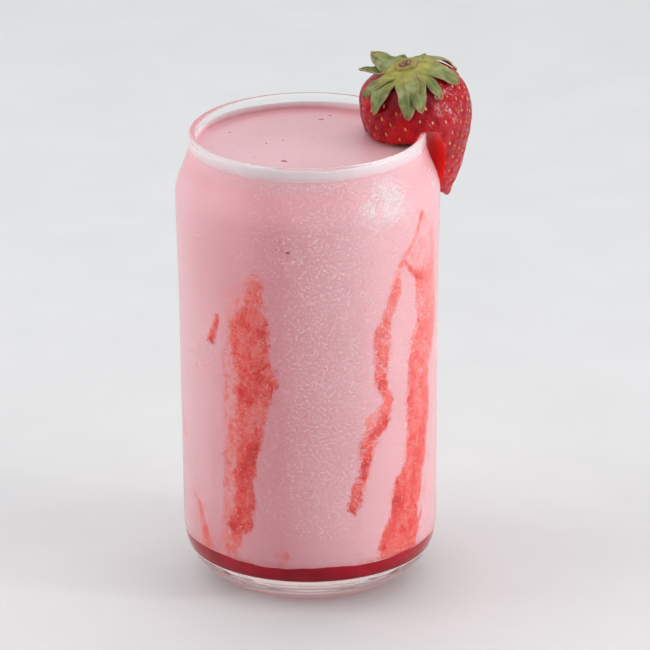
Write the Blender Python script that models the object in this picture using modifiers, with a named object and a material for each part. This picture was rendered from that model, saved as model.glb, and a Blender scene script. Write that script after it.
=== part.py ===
"""A strawberry milkshake in its glass, ready to drink.

A can-shaped tumbler stands on a ring foot round a shallow punt.  Dark syrup
lies on its floor, the pink milkshake fills it to just under the rim, and
streaks of syrup run down between the drink and the wall.  A slit strawberry
with its calyx hooks over the rim.

Metres, +Z up.  The glass is turned about its own upright axis, which stands a
little to -X of the origin, so that the origin is the middle of the whole
object's footprint.  Everything is modelled round the glass axis and parented
to an empty that carries that shift.
"""

import math
import random

import bmesh
import bpy
from mathutils import Vector

# ---- Driving dimensions (metres) ------------------------------------------

GLASS_AXIS_X = -0.0049          # glass axis, seen from the footprint's middle
GLASS_HEIGHT = 0.136
RIM_RADIUS = 0.0341             # of the upright neck
SHOULDER_RADIUS = 0.03805       # widest, at the foot of the flare
WAIST_RADIUS = 0.03743
HEEL_RADIUS = 0.03703           # where the side starts to turn under
FOOT_RADIUS = 0.0245            # outer edge of the ring that it stands on
RING_INNER_RADIUS = 0.0205
PUNT_DEPTH = 0.0018
NECK_FOOT = 0.1322              # heights where one stretch meets the next
SHOULDER_TOP = 0.1179
WAIST_TOP = 0.0804
HEEL_TOP = 0.017
WALL = 0.002
LIP_RADIUS = WALL / 2
FLOOR_HEIGHT = 0.0098           # inside floor
INNER_HEEL_TOP = 0.019
FLOOR_EDGE = 0.0295             # where the flat of the inside floor ends

DRINK_LEVEL = 0.131
SYRUP_LEVEL = 0.0148
MENISCUS_RISE = 0.0009
MENISCUS_WIDTH = 0.0028
GAP = 0.0003                    # between pieces that touch
SIDES = 48                      # facets of every turned piece

STREAK_DEPTH = 0.0006
STREAK_COLUMNS = 2

BERRY_TIP = Vector((0.0405, 0.0144, GLASS_HEIGHT - 0.0251))
BERRY_UP = Vector((-0.282, -0.103, 0.953)).normalized()
BERRY_LENGTH = 0.0412
BERRY_AZIMUTH = math.radians(20)   # where it hooks over the rim
OUTER_HALF_WIDTH = 0.0146          # of the half outside the glass
INNER_HALF_WIDTH = 0.0172          # of the half pushed in over the drink
WIDEST = 0.69                      # place along the berry, 0 tip to 1 top
LOBE_FOOT = 0.595                  # where the inner half ends, along the berry
LOBE_ROUNDING = 0.075              # of its lower edge, along the berry
SLIT_REACH = 0.0045                # of the outer half past the spine, before the cut
SLOT_CLEARANCE = 0.00035
SLOT_AZIMUTH = math.radians(22)
SLOT_AT_RIM = 0.0361               # slot's outer face, from the glass axis
SLOT_LEAN = 0.14                   # metres out for each metre down
SLOT_PINCH = 0.0031                # how much closer its top hugs the rim
SLOT_PINCH_DEPTH = 0.0035
SLOT_INNER_RADIUS = 0.0327         # within the thickness of the wall
SLOT_TOP = GLASS_HEIGHT + 0.0006
SLOT_HALF_TURN = math.radians(54)
SLOT_FOOT = 0.100                  # well below the berry's tip
SEED_COUNT = 112
SEED_SIZE = Vector((0.00115, 0.00165, 0.00075))

CALYX_RADIUS = 0.0068
CALYX_THICKNESS = 0.0015
SEPAL_THICKNESS = 0.00055
SCAR_RADIUS = 0.0031
SCAR_HEIGHT = 0.0007


# ---- Small helpers ----------------------------------------------------------

def smoothstep(low, high, value):
    share = min(max((value - low) / (high - low), 0.0), 1.0)
    return share * share * (3 - 2 * share)


def bezier(start, pull_a, pull_b, end, count):
    """Points of a cubic curve, its start left out."""
    points = []
    for step in range(1, count + 1):
        t = step / count
        weights = ((1 - t) ** 3, 3 * (1 - t) ** 2 * t, 3 * (1 - t) * t * t, t ** 3)
        points.append(tuple(sum(w * p[i] for w, p in zip(weights, (start, pull_a, pull_b, end)))
                            for i in range(2)))
    return points


def new_collection(name):
    collection = bpy.data.collections.new(name)
    bpy.context.scene.collection.children.link(collection)
    return collection


def new_material(name, colour, roughness, alpha=1.0, transmission=0.0):
    material = bpy.data.materials.new(name)
    material.use_nodes = True
    shader = material.node_tree.nodes["Principled BSDF"]
    shader.inputs["Base Color"].default_value = (*colour, 1)
    shader.inputs["Roughness"].default_value = roughness
    shader.inputs["Metallic"].default_value = 0
    shader.inputs["Alpha"].default_value = alpha
    shader.inputs["Transmission Weight"].default_value = transmission
    return material


def add_mesh_object(name, mesh_builder, collection, material=None):
    """A new object whose mesh is what is left in the bmesh handed on."""
    mesh = bpy.data.meshes.new(name)
    mesh.from_pydata([], [], [])
    mesh_builder.to_mesh(mesh)
    mesh_builder.free()
    mesh.shade_smooth()
    mesh.set_sharp_from_angle(angle=math.radians(40))
    piece = bpy.data.objects.new(name, mesh)
    collection.objects.link(piece)
    if material:
        mesh.materials.append(material)
    return piece


def add_turned(name, profile, collection, material=None):
    """Turn a closed-on-the-axis profile of (radius, height) pairs."""
    outline = bmesh.new()
    ring = [outline.verts.new((radius, 0, height)) for radius, height in profile]
    for start, end in zip(ring, ring[1:]):
        outline.edges.new((start, end))
    piece = add_mesh_object(name, outline, collection, material)
    screw = piece.modifiers.new("Turn", 'SCREW')
    screw.steps = SIDES
    screw.render_steps = SIDES
    screw.use_merge_vertices = True
    screw.merge_threshold = 0.00001
    return piece


def apply_modifiers(piece):
    bpy.context.view_layer.update()
    evaluated = piece.evaluated_get(bpy.context.evaluated_depsgraph_get())
    mesh = bpy.data.meshes.new_from_object(evaluated)
    piece.modifiers.clear()
    piece.data = mesh
    mesh.name = piece.name


def cut(piece, cutter):
    cutter.hide_render = True
    cutter.display_type = 'WIRE'
    boolean = piece.modifiers.new("Cut " + cutter.name, 'BOOLEAN')
    boolean.operation = 'DIFFERENCE'
    boolean.object = cutter


def fuse(piece, scraps):
    """Join a collection's objects to a piece, then remove them."""
    boolean = piece.modifiers.new("Fuse", 'BOOLEAN')
    boolean.operation = 'UNION'
    boolean.solver = 'MANIFOLD'
    boolean.operand_type = 'COLLECTION'
    boolean.collection = scraps
    apply_modifiers(piece)
    for scrap in list(scraps.objects):
        bpy.data.objects.remove(scrap, do_unlink=True)
    bpy.data.collections.remove(scraps)


# ---- The glass ----------------------------------------------------------------

def outer_radius(height):
    """Outside of the glass from the heel up."""
    if height > SHOULDER_TOP:
        flare = smoothstep(NECK_FOOT, SHOULDER_TOP, height)
        return RIM_RADIUS + (SHOULDER_RADIUS - RIM_RADIUS) * flare
    if height > WAIST_TOP:
        taper = smoothstep(SHOULDER_TOP, WAIST_TOP, height)
        return SHOULDER_RADIUS + (WAIST_RADIUS - SHOULDER_RADIUS) * taper
    share = max(height - HEEL_TOP, 0.0) / (WAIST_TOP - HEEL_TOP)
    return HEEL_RADIUS + (WAIST_RADIUS - HEEL_RADIUS) * share


def inner_heel(count=5):
    """The inside corner, from the wall round to the flat of the floor."""
    start = (outer_radius(INNER_HEEL_TOP) - WALL, INNER_HEEL_TOP)
    return [start] + bezier(start, (start[0], 0.0125), (0.0345, FLOOR_HEIGHT),
                            (FLOOR_EDGE, FLOOR_HEIGHT), count)


def inner_radius(height):
    """Inside of the glass, heel included."""
    if height >= INNER_HEEL_TOP:
        return outer_radius(height) - WALL
    corner = inner_heel(40)
    for (r_high, z_high), (r_low, z_low) in zip(corner, corner[1:]):
        if z_low <= height <= z_high:
            share = (height - z_low) / max(z_high - z_low, 1e-9)
            return r_low + (r_high - r_low) * share
    return FLOOR_EDGE


def wall_heights(low, high):
    """Heights that follow the glass's stretches, dense only on the flare."""
    flare = [NECK_FOOT + (SHOULDER_TOP - NECK_FOOT) * step / 5 for step in range(6)]
    stretches = flare + [0.1000, WAIST_TOP]
    return [low] + sorted(z for z in stretches if low + 0.0005 < z < high - 0.0005) + [high]


def lip(room=0):
    """The rounded rim, or that far off it, from its inner side over to its outer side."""
    centre_height = GLASS_HEIGHT - LIP_RADIUS
    centre_radius = RIM_RADIUS - LIP_RADIUS
    angles = [math.pi * (1 - step / 4) for step in range(5)]
    return [(centre_radius + (LIP_RADIUS + room) * math.cos(angle),
             centre_height + (LIP_RADIUS + room) * math.sin(angle)) for angle in angles]


def foot():
    """From the heel down to the ring, and up into the punt."""
    start = (HEEL_RADIUS, HEEL_TOP)
    heel = bezier(start, (HEEL_RADIUS, 0.0077), (0.0309, 0.0032), (FOOT_RADIUS, 0), 7)
    punt = [(RING_INNER_RADIUS, 0), (0.0175, PUNT_DEPTH * 0.7), (0, PUNT_DEPTH)]
    return heel + punt


def make_glass(collection):
    inside = [(0, FLOOR_HEIGHT)] + inner_heel()[::-1]
    inside += [(inner_radius(z), z) for z in wall_heights(INNER_HEEL_TOP, NECK_FOOT)[1:]]
    outside = [(outer_radius(z), z) for z in wall_heights(HEEL_TOP, NECK_FOOT)[::-1]]
    material = new_material("Glass", (0.95, 0.95, 0.95), 0.02, alpha=0.35, transmission=1.0)
    return add_turned("glass", inside + lip() + outside + foot(), collection, material)


# ---- The drink ----------------------------------------------------------------

def level_with_meniscus(level, gap):
    """Surface from the axis out, climbing the wall a little at its edge."""
    edge = RIM_RADIUS - WALL - gap
    surface = [(0, level), (edge - MENISCUS_WIDTH, level)]
    for step in (1, 2, 3):
        share = step / 3
        surface.append((edge - MENISCUS_WIDTH * (1 - share), level + MENISCUS_RISE * share ** 2.2))
    return surface


def make_milkshake(collection):
    surface = level_with_meniscus(DRINK_LEVEL, GAP)
    bottom = SYRUP_LEVEL + GAP
    heights = [INNER_HEEL_TOP - 0.0015] + wall_heights(INNER_HEEL_TOP, NECK_FOOT - 0.002)
    side = [(inner_radius(z) - GAP, z) for z in heights[::-1]]
    profile = surface + side + [(inner_radius(bottom) - GAP, bottom), (0, bottom)]
    material = new_material("Milkshake", (0.80, 0.50, 0.53), 0.4)
    return add_turned("milkshake", profile, collection, material)


def make_syrup_layer(collection):
    corner = [(radius - GAP * 0.7, height + GAP * 0.7) for radius, height in inner_heel(7)
              if height < SYRUP_LEVEL - 0.0004]
    side = [(inner_radius(SYRUP_LEVEL) - GAP, SYRUP_LEVEL)] + corner
    floor = FLOOR_HEIGHT + GAP
    profile = [(0, SYRUP_LEVEL)] + side[:-1] + [(FLOOR_EDGE, floor), (0, floor)]
    material = new_material("Syrup", (0.21, 0.008, 0.016), 0.2)
    return add_turned("syrup_layer", profile, collection, material)


# ---- Syrup streaks on the inside of the wall -----------------------------------

# Each route runs down the wall as (height mm, degrees round from the front,
# half its width in degrees); the front is the -Y side, + is towards +X.
STREAK_ROUTES = {
    "syrup_streak_front": [(104, -24.8, 1.2), (99, -25, 5), (93, -26, 7), (87, -27.3, 9.4),
                           (80, -28.4, 10.8), (72, -28, 12.2), (65, -28.5, 12.6), (58, -30.4, 11),
                           (50, -31.8, 9.4), (42, -32, 7.2), (34, -32.8, 6.6), (26, -35, 6.8),
                           (21, -37.5, 6), (17, -39.4, 3)],
    "syrup_streak_drop": [(89, -45, 1), (84, -47, 2.2), (79.5, -49.9, 1.4)],
    "syrup_streak_thin": [(103.5, 45.4, 1.4), (98, 42.2, 2.8), (91.5, 38.4, 2.4), (85, 35.6, 4.4),
                          (78, 35.1, 3.8), (71, 35.1, 4), (65, 36.4, 3.8), (60, 33.4, 5.8),
                          (54, 30.5, 4.8), (48, 27, 2.8), (41, 24, 4), (36, 21, 2.6), (31, 20.1, 1.2)],
    "syrup_streak_right": [(116, 60, 1.4), (110, 62.4, 6), (104, 64.6, 12.6), (97, 67.6, 12.4),
                           (90, 65, 9.2), (82, 64.4, 9.6), (74, 62.6, 10.2), (66, 61.2, 9.6),
                           (57, 60.2, 9), (49, 59, 8.2), (41, 56.6, 8), (35, 53.4, 10),
                           (28, 50.6, 10.4), (21, 47.4, 10.6), (17, 45, 5)],
    "syrup_streak_low": [(30.5, -69, 1.4), (27, -63, 2.4), (23.5, -61.2, 2.8), (19.5, -57, 3.6),
                         (16.8, -54.5, 2)],
    "syrup_streak_back_left": [(108, -118, 1.4), (100, -120, 6), (88, -123, 8.6), (76, -121, 7),
                               (64, -124, 9), (52, -127, 6.6), (40, -125, 5.4), (28, -129, 7.4),
                               (17, -132, 3.2)],
    "syrup_streak_back": [(96, 168, 1.2), (88, 171, 4.4), (78, 169, 5.6), (66, 173, 3.8),
                          (54, 176, 6.4), (42, 174, 4.6), (31, 178, 2.6), (22, 180, 1.2)],
    "syrup_streak_back_right": [(112, 122, 1.4), (102, 119, 7), (91, 116, 10), (78, 118, 8),
                                (64, 121, 10.4), (50, 118, 8.4), (37, 122, 9.6), (26, 126, 7),
                                (17, 128, 3)],
}


def outline_of(rows):
    """The points round the edge of a grid, in order."""
    right = [row[-1] for row in rows[1:-1]]
    left = [row[0] for row in rows[1:-1]]
    return rows[0] + right + rows[-1][::-1] + left[::-1]


def ribbon_on_wall(route, depth_out, depth_in, spread):
    """A closed strip that follows the inside wall between two depths under it."""
    strip = bmesh.new()
    layers = []
    for depth in (depth_out, depth_in):
        rows = []
        for index, (height_mm, centre, half_width) in enumerate(route):
            height = height_mm / 1000
            if index == 0:
                height += spread
            if index == len(route) - 1:
                height -= spread
            radius = inner_radius(height) - depth
            half = math.radians(half_width) + spread / radius
            row = []
            for column in range(STREAK_COLUMNS + 1):
                angle = math.radians(centre) + half * (2 * column / STREAK_COLUMNS - 1)
                row.append(strip.verts.new((radius * math.sin(angle),
                                            -radius * math.cos(angle), height)))
            rows.append(row)
        layers.append(rows)
        for upper, lower in zip(rows, rows[1:]):
            for column in range(STREAK_COLUMNS):
                strip.faces.new((upper[column], upper[column + 1],
                                 lower[column + 1], lower[column]))
    outline, inner_outline = [outline_of(rows) for rows in layers]
    for index in range(-1, len(outline) - 1):
        strip.faces.new((outline[index], outline[index + 1],
                         inner_outline[index + 1], inner_outline[index]))
    bmesh.ops.triangulate(strip, faces=strip.faces)
    bmesh.ops.recalc_face_normals(strip, faces=strip.faces)
    return strip


def make_streaks(collection, cutters, milkshake):
    material = new_material("Streak", (0.62, 0.12, 0.10), 0.35)
    streaks = []
    for name, route in STREAK_ROUTES.items():
        strip = ribbon_on_wall(route, GAP, GAP + STREAK_DEPTH, 0)
        streaks.append(add_mesh_object(name, strip, collection, material))
        pocket = ribbon_on_wall(route, -WALL / 2, 2 * GAP + STREAK_DEPTH, GAP)
        cutter = add_mesh_object("pocket_for_" + name, pocket, cutters)
        cut(milkshake, cutter)
    apply_modifiers(milkshake)
    return streaks


# ---- The strawberry -------------------------------------------------------------

def berry_directions():
    """Outward and sideways directions square to the berry's length."""
    radial = Vector((math.cos(BERRY_AZIMUTH), math.sin(BERRY_AZIMUTH), 0))
    outward = (radial - radial.dot(BERRY_UP) * BERRY_UP).normalized()
    return outward, BERRY_UP.cross(outward)


def berry_point(angle, along):
    """Skin of the berry; angle 0 faces away from the glass, along is 0 at the tip."""
    outward, sideways = berry_directions()
    inward = smoothstep(math.radians(55), math.radians(160), abs(angle))
    half_width = OUTER_HALF_WIDTH + (INNER_HALF_WIDTH - OUTER_HALF_WIDTH) * inward
    swell = math.sin(math.pi * along ** (math.log(0.5) / math.log(WIDEST)))
    sharpness = 0.44
    if along > WIDEST:
        sharpness = 0.30 - 0.15 * inward
    radius = half_width * max(swell, 0.0) ** sharpness
    radius *= 1 + 0.018 * math.sin(3 * angle + 1.1) + 0.012 * math.sin(5 * angle + 4 * along)
    out, aside = radius * math.cos(angle), radius * math.sin(angle)
    if out < -SLIT_REACH:
        sunk = min(max((LOBE_FOOT + LOBE_ROUNDING - along) / LOBE_ROUNDING, 0.0), 1.0)
        kept = math.sqrt(1 - sunk ** 2)
        out = -SLIT_REACH + (out + SLIT_REACH) * kept
        aside *= 0.88 + 0.12 * kept
    return BERRY_TIP + BERRY_UP * BERRY_LENGTH * along + outward * out + sideways * aside


def berry_rings():
    """Places along the berry for its rings of points, closest round the lobe's edge."""
    lower = [LOBE_FOOT * (step / 8) ** 1.3 for step in range(9)]
    edge = [LOBE_FOOT + LOBE_ROUNDING * share for share in (0.05, 0.15, 0.35, 0.65)]
    start = LOBE_FOOT + LOBE_ROUNDING
    upper = [start + (1 - start) * math.sin(math.pi / 2 * step / 8) for step in range(9)]
    return lower + edge + upper


def berry_normal(angle, along):
    step = 0.01
    across = berry_point(angle + step, along) - berry_point(angle - step, along)
    low, high = max(along - step, 0.001), min(along + step, 0.999)
    lengthways = berry_point(angle, high) - berry_point(angle, low)
    return across.cross(lengthways).normalized()


def slot_face_distance(height):
    """From the glass axis to the slot's outer face, along the slot's azimuth."""
    drop = max(GLASS_HEIGHT - height, 0.0)
    return SLOT_AT_RIM + SLOT_LEAN * drop - SLOT_PINCH * math.exp(-drop / SLOT_PINCH_DEPTH)


def make_slot_cutters(cutters):
    """The glass and drink with a little room, and the knife cut outside them."""
    surface = level_with_meniscus(DRINK_LEVEL + SLOT_CLEARANCE, SLOT_CLEARANCE)
    side = [(outer_radius(z) + SLOT_CLEARANCE, z)
            for z in wall_heights(SLOT_FOOT, NECK_FOOT)[::-1]]
    profile = surface + lip(SLOT_CLEARANCE) + side + [(0, SLOT_FOOT)]
    over_the_rim = add_turned("slot_over_rim", profile, cutters)

    wedge = bmesh.new()
    bmesh.ops.create_cube(wedge, size=1)
    bmesh.ops.subdivide_edges(wedge, edges=wedge.edges[:], cuts=9, use_grid_fill=True)
    for vert in wedge.verts:
        height = SLOT_TOP - (SLOT_TOP - SLOT_FOOT) * max(0.5 - vert.co.z, 0.0) ** 2.2
        turn = 2 * SLOT_HALF_TURN * vert.co.y
        near = SLOT_INNER_RADIUS * math.cos(turn)
        out = near + (slot_face_distance(height) - near) * (vert.co.x + 0.5)
        side_step = SLOT_INNER_RADIUS * math.sin(turn)
        vert.co = (out * math.cos(SLOT_AZIMUTH) - side_step * math.sin(SLOT_AZIMUTH),
                   out * math.sin(SLOT_AZIMUTH) + side_step * math.cos(SLOT_AZIMUTH), height)
    knife_cut = add_mesh_object("slot_knife_cut", wedge, cutters)
    return over_the_rim, knife_cut


def clear_of_slot(point, room):
    """True where a seed of that half size stays clear of every cut face."""
    from_axis = math.hypot(point.x, point.y)
    along_slot = point.x * math.cos(SLOT_AZIMUTH) + point.y * math.sin(SLOT_AZIMUTH)
    if point.z > SLOT_TOP + room:
        return True
    inside = from_axis < inner_radius(max(point.z, DRINK_LEVEL)) - SLOT_CLEARANCE - room
    above_drink = point.z > DRINK_LEVEL + MENISCUS_RISE + room
    outside = along_slot > slot_face_distance(point.z) + room
    return outside or (inside and above_drink)


def seed_places():
    """Evenly spread (angle, along) pairs on a spiral, each nudged a little."""
    draw = random.Random(7)
    golden = math.pi * (3 - math.sqrt(5))
    rings = [step / 200 for step in range(201)]
    area = [0.0]
    for low, high in zip(rings, rings[1:]):
        middle = (low + high) / 2
        swell = math.sin(math.pi * middle ** (math.log(0.5) / math.log(WIDEST)))
        area.append(area[-1] + max(swell, 0) ** 0.5 * (high - low))
    places = []
    for index in range(SEED_COUNT):
        wanted = area[-1] * (index + 0.5) / SEED_COUNT
        ring = next(step for step, total in enumerate(area) if total >= wanted)
        angle = (index * golden + draw.uniform(-0.10, 0.10)) % (2 * math.pi) - math.pi
        places.append((angle, rings[ring] - 0.0025))
    return places


def make_seeds():
    seeds = new_collection("seeds")
    kept = 0
    for angle, along in seed_places():
        if not 0.06 < along < 0.955:
            continue
        point, normal = berry_point(angle, along), berry_normal(angle, along)
        if not clear_of_slot(point, SEED_SIZE.y):
            continue
        lengthways = (BERRY_UP - BERRY_UP.dot(normal) * normal).normalized()
        sideways = lengthways.cross(normal)
        seed = bmesh.new()
        bmesh.ops.create_icosphere(seed, subdivisions=1, radius=0.5)
        for vert in seed.verts:
            narrow = 1 - 0.5 * vert.co.y
            vert.co = (point - normal * SEED_SIZE.z * 0.12
                       + sideways * vert.co.x * SEED_SIZE.x * narrow
                       + lengthways * vert.co.y * SEED_SIZE.y
                       + normal * vert.co.z * SEED_SIZE.z * 1.6)
        add_mesh_object("seed_%03d" % kept, seed, seeds)
        kept += 1
    return seeds


def make_strawberry(collection, cutters):
    skin = bmesh.new()
    rings = berry_rings()
    bmesh.ops.create_uvsphere(skin, u_segments=32, v_segments=len(rings) - 1, radius=1)
    for vert in skin.verts:
        from_tip = math.acos(max(min(-vert.co.z, 1), -1)) / math.pi
        along = rings[round(from_tip * (len(rings) - 1))]
        vert.co = berry_point(math.atan2(vert.co.y, vert.co.x), along)
    material = new_material("Strawberry", (0.60, 0.03, 0.03), 0.25)
    berry = add_mesh_object("strawberry", skin, collection, material)
    for cutter in make_slot_cutters(cutters):
        cut(berry, cutter)
    apply_modifiers(berry)
    fuse(berry, make_seeds())
    return berry


# ---- The calyx --------------------------------------------------------------------

# Each sepal: (degrees round the berry, sideways bend in degrees, then length,
# half width and curl up at its tip in millimetres); 0 degrees faces away from
# the glass and -90 the front.
SEPALS = [(-44, -2, 15.5, 3.5, 0.8), (-79, 0, 16.3, 1.7, 0.5), (-107, 3, 18.8, 2.5, 0.5),
          (-119, 6, 19.6, 2.7, 0.3), (-153, 3, 18.2, 2.6, 0.4), (-172, 4, 14.8, 2.5, 0.5),
          (151, -4, 12.0, 1.8, 3.4), (124, 0, 9.6, 2.4, 3.6), (84, 0, 10.5, 2.3, 1.2),
          (48, 4, 14.0, 2.2, 1.0), (12, 0, 18.5, 2.4, 0.4)]


def meridian(angle, samples=60):
    """(distance from the top, along) pairs down the skin at one angle."""
    pairs = []
    travelled = 0.0
    before = berry_point(angle, 1)
    for step in range(samples + 1):
        along = 1 - 0.75 * (step / samples) ** 2
        here = berry_point(angle, along)
        travelled += (here - before).length
        pairs.append((travelled, along))
        before = here
    return pairs


def over_skin(angle, distance, height):
    """A point that far down from the berry's top and that high off its skin."""
    pairs = meridian(angle)
    along = pairs[-1][1]
    for (near, along_near), (far, along_far) in zip(pairs, pairs[1:]):
        if distance <= far:
            share = (distance - near) / max(far - near, 1e-9)
            along = along_near + (along_far - along_near) * share
            break
    normal = berry_normal(angle, min(along, 0.99))
    steady = smoothstep(0.003, 0.009, distance)
    normal = (normal * steady + BERRY_UP * (1 - steady)).normalized()
    return berry_point(angle, along) + normal * height


def make_dome(collection, material):
    """The middle of the calyx, with the scar of the stalk standing on it."""
    dome = bmesh.new()
    bmesh.ops.create_uvsphere(dome, u_segments=18, v_segments=8, radius=1)
    for vert in dome.verts:
        share = min(math.hypot(vert.co.x, vert.co.y), 1)
        angle = math.atan2(vert.co.y, vert.co.x)
        thickness = CALYX_THICKNESS - (CALYX_THICKNESS - SEPAL_THICKNESS) * share ** 2
        lift = GAP * 2 + (thickness if vert.co.z > 0.01 else 0)
        if abs(vert.co.z) <= 0.01:
            lift = GAP * 2 + thickness / 2
        vert.co = over_skin(angle, CALYX_RADIUS * share, lift)
    return add_mesh_object("calyx", dome, collection, material)


def make_scar(scraps):
    scar = bmesh.new()
    bmesh.ops.create_cone(scar, cap_ends=True, segments=14, radius1=SCAR_RADIUS * 1.15,
                          radius2=SCAR_RADIUS, depth=1)
    outward, sideways = berry_directions()
    centre = over_skin(0, 0, GAP * 2 + CALYX_THICKNESS)
    for vert in scar.verts:
        height = SCAR_HEIGHT if vert.co.z > 0 else -CALYX_THICKNESS / 2
        vert.co = centre + outward * vert.co.x + sideways * vert.co.y + BERRY_UP * height
    add_mesh_object("scar", scar, scraps)


def make_sepal(number, turn, bend, length, half_width, curl, scraps):
    leaf = bmesh.new()
    rows, columns = 6, 3
    bmesh.ops.create_grid(leaf, x_segments=columns, y_segments=rows, size=1)
    root = 0.0035
    for vert in leaf.verts:
        down = (1 - vert.co.y) / 2
        spread = half_width * max(math.sin(math.pi * down ** 0.75) ** 0.6, 0.62 * (1 - down) ** 0.6)
        distance = root + (length - root) * down
        girth = max((over_skin(turn, distance, 0) - over_skin(turn, 0, 0)).length, 0.004)
        angle = turn + bend * math.sin(math.pi * down) + vert.co.x * spread / girth
        wave = 0.00022 * math.sin(7 * down + 2.1 * number) * vert.co.x
        height = GAP * 2 + SEPAL_THICKNESS / 2 + 0.00025 + curl * down ** 3 + wave
        height += 0.0003 * vert.co.x ** 2
        vert.co = over_skin(angle, distance, height)
    bmesh.ops.remove_doubles(leaf, verts=leaf.verts, dist=0.00005)
    bmesh.ops.triangulate(leaf, faces=leaf.faces)
    sepal = add_mesh_object("sepal_%02d" % number, leaf, scraps)
    wall = sepal.modifiers.new("Thickness", 'SOLIDIFY')
    wall.thickness = SEPAL_THICKNESS
    wall.offset = 0
    apply_modifiers(sepal)


def make_calyx(collection):
    material = new_material("Calyx", (0.30, 0.36, 0.09), 0.5)
    calyx = make_dome(collection, material)
    scraps = new_collection("sepals")
    make_scar(scraps)
    for number, (turn, bend, length, half_width, curl) in enumerate(SEPALS):
        make_sepal(number, math.radians(turn), math.radians(bend), length / 1000,
                   half_width / 1000, curl / 1000, scraps)
    fuse(calyx, scraps)
    return calyx


# ---- Putting it together -------------------------------------------------------------

def clear_scene():
    for old in list(bpy.data.objects):
        bpy.data.objects.remove(old, do_unlink=True)


def build():
    clear_scene()
    parts = new_collection("strawberry_milkshake")
    cutters = new_collection("cutters")
    stand = bpy.data.objects.new("stand", None)
    parts.objects.link(stand)
    milkshake = make_milkshake(parts)
    pieces = [make_glass(parts), milkshake, make_syrup_layer(parts)]
    pieces += make_streaks(parts, cutters, milkshake)
    pieces += [make_strawberry(parts, cutters), make_calyx(parts)]
    for piece in pieces:
        piece.parent = stand
    for cutter in list(cutters.objects):
        bpy.data.objects.remove(cutter, do_unlink=True)
    stand.location.x = GLASS_AXIS_X


build()
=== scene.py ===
"""A strawberry milkshake in its glass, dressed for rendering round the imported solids."""

import math
import random

import bpy
from mathutils import Matrix, Vector, kdtree, noise


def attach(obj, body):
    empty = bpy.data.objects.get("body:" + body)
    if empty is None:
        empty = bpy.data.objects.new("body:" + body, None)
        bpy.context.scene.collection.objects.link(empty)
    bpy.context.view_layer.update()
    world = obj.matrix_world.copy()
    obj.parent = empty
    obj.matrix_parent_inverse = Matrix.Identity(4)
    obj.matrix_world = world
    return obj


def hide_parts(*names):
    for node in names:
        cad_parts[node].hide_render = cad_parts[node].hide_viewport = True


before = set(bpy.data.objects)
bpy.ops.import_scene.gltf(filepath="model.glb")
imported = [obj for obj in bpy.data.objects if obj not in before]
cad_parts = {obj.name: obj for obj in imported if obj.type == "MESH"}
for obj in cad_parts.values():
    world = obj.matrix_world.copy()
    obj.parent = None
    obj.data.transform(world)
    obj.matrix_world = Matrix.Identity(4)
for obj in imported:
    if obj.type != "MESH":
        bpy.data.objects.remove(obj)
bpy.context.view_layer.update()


# ---- The glass -----------------------------------------------------------------------------
# A clear tumbler in the shape of a drinks can, blown in a mould and polished with
# a flame at its rim.  It stands on a narrow ring round a shallow punt.

GLASS_AXIS_X = -0.0049
GLASS_HEIGHT = 0.136
RIM_RADIUS = 0.0341
SHOULDER_RADIUS = 0.03805
WAIST_RADIUS = 0.03743
HEEL_RADIUS = 0.03703
FOOT_RADIUS = 0.0245
RING_INNER_RADIUS = 0.0205
PUNT_DEPTH = 0.0018
NECK_FOOT = 0.1322
SHOULDER_TOP = 0.1179
WAIST_TOP = 0.0804
HEEL_TOP = 0.017
WALL = 0.002
LIP_RADIUS = WALL / 2
LIP_STEPS = 26
FLOOR_HEIGHT = 0.0098
INNER_HEEL_TOP = 0.019
FLOOR_EDGE = 0.0295
TURNED_STEPS = 160              # round every turned piece
GLASS_STEPS = 420
MERGE_WITHIN = 0.000004         # points closer than this are one point
MOULD_RIDGES = (0.0081, 0.0066, 0.0050, 0.0032)     # heights of the ridges round the heel
MOULD_RIDGE = 0.00005           # how far they stand proud
MOULD_RIDGE_WIDTH = 0.00028
RIDGES_START = 0.0095           # above it the heel is plain
FOG_FOOT, FOG_TOP = 0.0165, 0.1325
SYRUP_REFLECTION_FADE = 0.0013       # below the syrup the glass is painted pink over this much, a painted reflection of the syrup
CLEAR_TINT = (0.985, 0.99, 0.988)


def smoothstep(low, high, value):
    share = min(max((value - low) / (high - low), 0.0), 1.0)
    return share * share * (3 - 2 * share)


def bezier(start, pull_a, pull_b, end, count):
    """Points of a cubic curve, its start left out."""
    points = []
    for step in range(1, count + 1):
        t = step / count
        weights = ((1 - t) ** 3, 3 * (1 - t) ** 2 * t, 3 * (1 - t) * t * t, t ** 3)
        points.append(tuple(sum(w * p[i] for w, p in zip(weights, (start, pull_a, pull_b, end)))
                            for i in range(2)))
    return points


def outer_radius(height):
    """Outside of the glass from the heel up."""
    if height > SHOULDER_TOP:
        flare = smoothstep(NECK_FOOT, SHOULDER_TOP, height)
        return RIM_RADIUS + (SHOULDER_RADIUS - RIM_RADIUS) * flare
    if height > WAIST_TOP:
        taper = smoothstep(SHOULDER_TOP, WAIST_TOP, height)
        return SHOULDER_RADIUS + (WAIST_RADIUS - SHOULDER_RADIUS) * taper
    share = max(height - HEEL_TOP, 0.0) / (WAIST_TOP - HEEL_TOP)
    return HEEL_RADIUS + (WAIST_RADIUS - HEEL_RADIUS) * share


def inner_heel(count):
    """The inside corner, from the wall round to the flat of the floor."""
    start = (outer_radius(INNER_HEEL_TOP) - WALL, INNER_HEEL_TOP)
    return [start] + bezier(start, (start[0], 0.0125), (0.0345, FLOOR_HEIGHT),
                            (FLOOR_EDGE, FLOOR_HEIGHT), count)


INSIDE_CORNER = inner_heel(60)


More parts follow.
